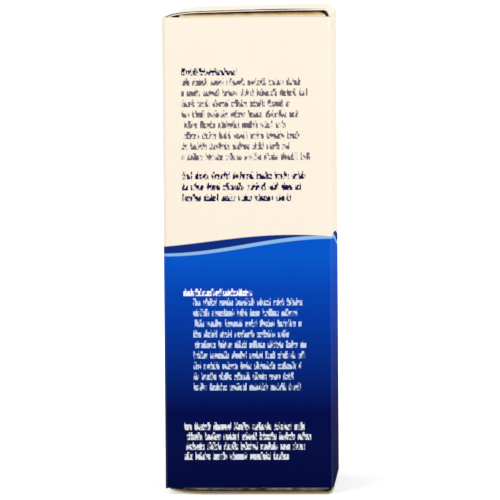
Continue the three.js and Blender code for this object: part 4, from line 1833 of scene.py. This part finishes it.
    def cap_seal(self) -> None:
        """Makes the soft seal, whose pin closes the orifice."""
        radius, pin, length = self.seal
        low = self.tip_top + self.seal_gap
        high = self.cap_top - self.ceiling - self.seal_gap
        points = [
            (0.0, low - length),
            (pin, low - length),
            (pin, low),
            (radius, low),
            (radius, high),
            (0.0, high),
        ]
        piece = Turned("cap_seal_disc", softened(points, self.SEAL_SOFT), self.seal_plastic, segments=72)
        carry(piece.build(), "cap_lining", "squeeze_plastic", "cap_seal")

    def build(self) -> None:
        """Makes every piece of the bottle."""
        self.body()
        self.liquid()
        self.wrap_label()
        self.dropper()
        self.band()
        self.cap()
        self.cap_seal()


# The room


@dataclass(frozen=True)
class Studio:
    """A white room with soft lamps, and a camera with a long lens."""

    azimuth: float = 2.836
    elevation: float = 4.341
    roll: float = 0.411
    distance: float = 0.9983
    lens: float = 358.79
    sensor: float = 36.0
    aim: Place = (-0.000406, 0.0, 0.047244)
    floor_drop: float = 0.00005

    # How strong the room's reflection is, by direction, from the front of the carton to its back
    FRONT_TO_BACK = {"From Min": -0.5, "From Max": 0.9, "To Min": 0.08, "To Max": 0.5}
    ROUGH_LIGHT = 0.5
    # How white the floor is to the eye, by distance, which leaves a faint shadow
    NEAR_TO_FAR = {"From Min": 0.04, "From Max": 0.4, "To Min": 0.62, "To Max": 1.0}
    # Name, place in metres, side in metres, power in watts and tint of each lamp
    LAMPS = (
        ("front_left_lamp", (-0.7, -1.1, 0.7), 0.7, 10.6, "#FFFDFA"),
        ("right_lamp", (1.14, -0.37, 0.3), 0.5, 7.8, "#FFFFFF"),
        ("top_lamp", (0.0, 0.3, 1.2), 0.8, 4.0, "#FFFFFF"),
    )

    def camera(self) -> None:
        """Makes the camera, which looks at the carton from a little above and to its right."""
        data = bpy.data.cameras.new("camera")
        camera = bpy.data.objects.new("camera", data)
        bpy.context.scene.collection.objects.link(camera)
        turn, lift = math.radians(self.azimuth), math.radians(self.elevation)
        back = Vector((math.sin(turn) * math.cos(lift), -math.cos(turn) * math.cos(lift), math.sin(lift)))
        camera.location = Vector(self.aim) + back * self.distance
        facing = (-back).to_track_quat("-Z", "Y")
        rolled = Matrix.Rotation(math.radians(-self.roll), 3, "Z").to_quaternion()
        camera.rotation_mode = "QUATERNION"
        camera.rotation_quaternion = facing @ rolled
        data.sensor_width = self.sensor
        data.lens = self.lens
        data.clip_start = 0.05
        data.clip_end = 50.0
        bpy.context.scene.camera = camera

    def world(self) -> None:
        """Makes the room's light: white to the eye, and dimmer in front than behind in reflections."""
        world = bpy.data.worlds.new("white room")
        bpy.context.scene.world = world
        world.use_nodes = True
        tree = world.node_tree
        tree.nodes.clear()
        rays = add_node(tree, "ShaderNodeLightPath").outputs
        way = add_node(tree, SEPARATE, {0: add_node(tree, COORDINATE).outputs["Generated"]})
        depth = {"Value": way.outputs["Y"], **self.FRONT_TO_BACK}
        room = add_node(tree, RANGE, depth, interpolation_type="SMOOTHSTEP")
        sharp_rays = {0: rays["Is Glossy Ray"], 1: rays["Is Transmission Ray"]}
        sharp = add_node(tree, MATH, sharp_rays, operation="MAXIMUM")
        dim = add_node(tree, MIX, {0: sharp, 2: self.ROUGH_LIGHT, 3: room}, data_type="FLOAT")
        strength = add_node(tree, MIX, {0: rays["Is Camera Ray"], 2: dim, 3: 1.0}, data_type="FLOAT")
        light = add_node(tree, "ShaderNodeBackground", {"Color": WHITE, "Strength": strength})
        add_node(tree, "ShaderNodeOutputWorld", {"Surface": light})

    def lamp(self, name: str, place: Place, size: float, power: float, tint: str) -> None:
        """Adds a square soft lamp that faces the carton.

        Args:
            name: Its name.
            place: Where it hangs, in metres.
            size: Its side, in metres.
            power: Its power, in watts.
            tint: Its colour.
        """
        data = bpy.data.lights.new(name, "AREA")
        data.size = size
        data.energy = power
        data.color = linear(tint)[:3]
        lamp = bpy.data.objects.new(name, data)
        bpy.context.scene.collection.objects.link(lamp)
        lamp.location = place
        aim = Vector(self.aim) - Vector(place)
        lamp.rotation_mode = "QUATERNION"
        lamp.rotation_quaternion = aim.to_track_quat("-Z", "Y")

    def paper(self) -> Material:
        """Makes the floor's material: white paper that keeps a shadow and is clear from below.

        Returns:
            The material.
        """
        material = new_material("white background paper")
        tree = material.node_tree
        rays = add_node(tree, "ShaderNodeLightPath").outputs
        seen_rays = {0: rays["Is Camera Ray"], 1: rays["Is Transmission Ray"]}
        seen = add_node(tree, MATH, seen_rays, operation="MAXIMUM")
        place = add_node(tree, COORDINATE).outputs["Object"]
        away = add_node(tree, "ShaderNodeVectorMath", {0: place}, operation="LENGTH").outputs["Value"]
        level = add_node(tree, RANGE, {"Value": away, **self.NEAR_TO_FAR}, interpolation_type="SMOOTHSTEP")
        glow = add_node(tree, MATH, {0: seen, 1: level}, operation="MULTIPLY")
        paper = add_node(tree, "ShaderNodeBsdfDiffuse", {"Color": linear("#BFBFBF"), "Roughness": 0.5})
        white = add_node(tree, "ShaderNodeEmission", {"Color": WHITE, "Strength": glow})
        both = add_node(tree, "ShaderNodeAddShader", {0: paper, 1: white})
        back = add_node(tree, "ShaderNodeNewGeometry").outputs["Backfacing"]
        below = add_node(tree, MATH, {0: back, 1: rays["Is Camera Ray"]}, operation="MULTIPLY")
        clear = add_node(tree, "ShaderNodeBsdfTransparent")
        surface = add_node(tree, "ShaderNodeMixShader", {0: below, 1: both, 2: clear})
        add_node(tree, OUTPUT, {"Surface": surface})
        return material

    def build(self) -> None:
        """Makes the camera, the world, the lamps and the floor."""
        self.camera()
        self.world()
        for row in self.LAMPS:
            self.lamp(*row)
        mesh = bmesh.new()
        bmesh.ops.create_grid(mesh, x_segments=8, y_segments=8, size=6.0)
        floor = make_piece("floor_paper", mesh, (self.paper(),))
        floor.location = (0.0, 0.0, -self.floor_drop)


def make_board() -> Board:
    """Makes the finishes of the carton's board.

    Returns:
        The finishes.
    """
    navy, pale, white = "#15164A", "#D2E3FB", "#F4F8FF"
    blue_to = 47.0
    unbroken = {"run": 200.0, "ragged": 0.0, "density": 1.0}
    # Left, top, rows, length and ink of each block come first
    side = (
        InkBlock(-12.9, 84.4, 1, 11.0, navy, seed=3, **unbroken),
        InkBlock(-12.9, 82.4, 8, 25.4, navy, seed=11),
        InkBlock(-12.9, 64.0, 3, 25.6, navy, pitch=2.17, seed=23, density=1.0),
        InkBlock(-12.8, 40.9, 1, 13.6, white, seed=31, **unbroken),
        InkBlock(-10.9, 39.0, 9, 23.2, pale, seed=47),
        InkBlock(-12.8, 14.4, 4, 25.4, white, pitch=1.97, weight=0.56, seed=59),
    )
    front = (
        InkBlock(-12.0, 80.0, 2, 24.0, navy, pitch=5.2, weight=0.6, run=9.5, seed=5),
        InkBlock(-12.0, 67.0, 3, 22.0, navy, pitch=2.8, seed=7),
        InkBlock(-12.0, 29.0, 2, 20.0, white, pitch=3.4, run=6.0, seed=9),
        InkBlock(-12.0, 12.5, 2, 24.0, pale, pitch=2.4, seed=17),
    )
    # The back of the board has no coating: dull, a little greyer, with its fibres showing.
    inner = Grained(
        name="bleached board, uncoated back",
        colour="#F6F4EF",
        second="#ECE8DF",
        grain_mm=0.8,
        roughness=(0.75, 0.88),
        bump=0.3,
        depth_mm=0.03,
        specular=0.15,
    )
    # The walls' print: blue below and cream above, with a soft sheen.
    flanks = CoatedBoard("coated board, printed side panels", side, blue_to)
    wall_looks = {
        Side.FRONT: CoatedBoard("coated board, printed front panel", front, blue_to, swell=-1.0),
        Side.BACK: CoatedBoard("coated board, printed back panel", (), blue_to, swell=-1.0),
    }
    side_look = flanks.material()
    # The closures are printed in one ink each: cream that looks nearly white, and a dark navy.
    top = CoatedBoard("coated board, cream top closure", paper="#FDF5E8")
    bottom = CoatedBoard("coated board, navy bottom closure", paper="#020A3E", cloud="#030D46")
    # The top closure's cut edge has a dark line at its outer face; the bottom one's is brown throughout,
    # painted shade.
    top_rim = CutEdge("bleached board, cut edge with a dark line", darkening="#38240C", reach=0.66)
    brown = ((0.0, "#E2D2A4"), (0.35, "#B8A06A"), (0.7, "#86703F"), (1.0, "#5E4C2C"))
    bottom_rim = CutEdge("bleached board, cut edge in painted shade", brown)
    # The dust flaps are cream, with painted shade along the crease: brown at the top, near black to brown at
    # the bottom.
    top_crease_shade = ((0.0, "#F4E6CB"), (0.2, "#DCC194"), (0.42, "#9A7344"), (0.8, "#84592C"), (1.0, "#F8EEDC"))
    bottom_crease_shade = ((0.0, "#0C0A12"), (0.22, "#2C2418"), (0.42, "#6E5C38"), (0.8, "#5E4C2C"), (1.0, "#F8EEDC"))
    top_flap = CoatedBoard("coated board, top dust flaps", paper="#F8EEDC", darkening=top_crease_shade)
    bottom_flap = CoatedBoard("coated board, bottom dust flaps", paper="#F8EEDC", darkening=bottom_crease_shade)
    return Board(
        inner=inner.material(),
        raw=CutEdge().material(),
        walls={
            Side.RIGHT: side_look,
            Side.LEFT: side_look,
            **{wall: look.material() for wall, look in wall_looks.items()},
        },
        closures={End.TOP: top.material(), End.BOTTOM: bottom.material()},
        rims={End.TOP: top_rim.material(), End.BOTTOM: bottom_rim.material()},
        flaps={End.TOP: top_flap.material(), End.BOTTOM: bottom_flap.material()},
    )


def make_glue() -> Material:
    """Makes the finish of the dried seam glue: a thin, yellowish, slightly glossy film.

    Returns:
        The material.
    """
    glue = Grained(
        name="polyvinyl acetate glue, dried",
        colour="#E9DFC4",
        second="#DCCFAE",
        grain_mm=1.2,
        roughness=(0.35, 0.5),
        bump=0.3,
        depth_mm=0.04,
        transmission=0.15,
    )
    return glue.material()


def make_bottle() -> Bottle:
    """Makes the finishes of the bottle, and reads its place in the frame.

    Returns:
        The bottle, not built yet.
    """
    navy = "#1B1C4A"
    blocks = (
        InkBlock(-12.0, 38.0, 1, 20.0, navy, run=6.0, weight=0.5, pitch=4.0, seed=4),
        InkBlock(-12.0, 33.0, 4, 22.0, navy, seed=13),
        InkBlock(-38.0, 38.0, 7, 22.0, navy, seed=29),
        InkBlock(16.0, 38.0, 7, 22.0, navy, seed=37),
    )
    # Natural low-density polyethylene, blown: milky and waxy, and light spreads in it.
    plastic = Grained(
        name="low-density polyethylene, blown",
        colour="#F4F5F2",
        second="#ECEEEA",
        grain_mm=3.0,
        roughness=(0.34, 0.42),
        bump=0.08,
        depth_mm=0.03,
        ior=1.51,
        transmission=0.3,
        scatter=0.5,
    )
    # The same plastic moulded thick, so it looks whiter and less clear.
    tip_plastic = Grained(
        name="low-density polyethylene, moulded",
        colour="#F7F7F4",
        second="#F0F1ED",
        grain_mm=2.0,
        roughness=(0.3, 0.38),
        bump=0.06,
        ior=1.51,
        transmission=0.1,
        scatter=0.6,
    )
    # Polypropylene moulded in a lightly eroded tool: a clean blue with a soft broad highlight.
    cap_plastic = Grained(
        name="polypropylene, moulded blue",
        colour="#1350AE",
        second="#0F4AA4",
        grain_mm=0.6,
        roughness=(0.28, 0.38),
        bump=0.12,
        depth_mm=0.015,
        specular=0.45,
    )
    # Thermoplastic elastomer: dull and slightly grey.
    seal_plastic = Grained(
        name="elastomer, moulded",
        colour="#E9EBEA",
        second="#DFE2E1",
        grain_mm=0.8,
        roughness=(0.55, 0.65),
        bump=0.15,
        scatter=0.3,
    )
    # The label: a flat white with a clear gloss, brighter than the plastic round it.
    film = LabelFilm("polypropylene film, printed and varnished", blocks, (8.0, 22.0))
    # The film's back and edge show its adhesive: a duller white.
    film_edge = Grained("polypropylene film, adhesive side", "#ECECE8", "#E4E4DF", 1.0, (0.5, 0.6))
    # Water with a trace of salts: clear, with the sharp edge of a liquid.
    drops = Grained(
        name="saline drops",
        colour="#F5FAFC",
        second="#F0F8FB",
        grain_mm=20.0,
        roughness=(0.02, 0.03),
        bump=0.0,
        depth_mm=0.01,
        ior=1.333,
        transmission=1.0,
    )
    body_low, body_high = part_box("bottle_body")
    label_low, label_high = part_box("bottle_label")
    return Bottle(
        plastic=plastic.material(),
        tip_plastic=tip_plastic.material(),
        cap_plastic=cap_plastic.material(),
        seal_plastic=seal_plastic.material(),
        film=film.material(),
        film_edge=film_edge.material(),
        drops=drops.material(),
        radius=body_high.x / MM,
        foot=body_low.z / MM,
        shoulder_top=body_high.z / MM - Bottle.neck_height,
        label=(label_low.z / MM, label_high.z / MM),
        cap_top=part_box("screw_cap")[1].z / MM,
    )


def main() -> None:
    """Builds the room and every sub-assembly."""
    logging.basicConfig(level=logging.INFO, format="%(message)s")
    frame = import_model()
    bpy.context.scene.view_settings.view_transform = "Standard"
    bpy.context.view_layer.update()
    Studio().build()
    board = make_board()
    half = max(abs(c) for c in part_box("front_panel")[0][:2]) / MM
    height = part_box("top_closure_panel")[1].z / MM - SPRING
    Sleeve(board, make_glue(), half, height).build(frame["nodes"]["seam_adhesive"])
    CartonEnd(board, End.TOP, half, height, SPRING).build()
    CartonEnd(board, End.BOTTOM, half, height, 0.0).build()
    make_bottle().build()


if __name__ == "__main__":
    main()
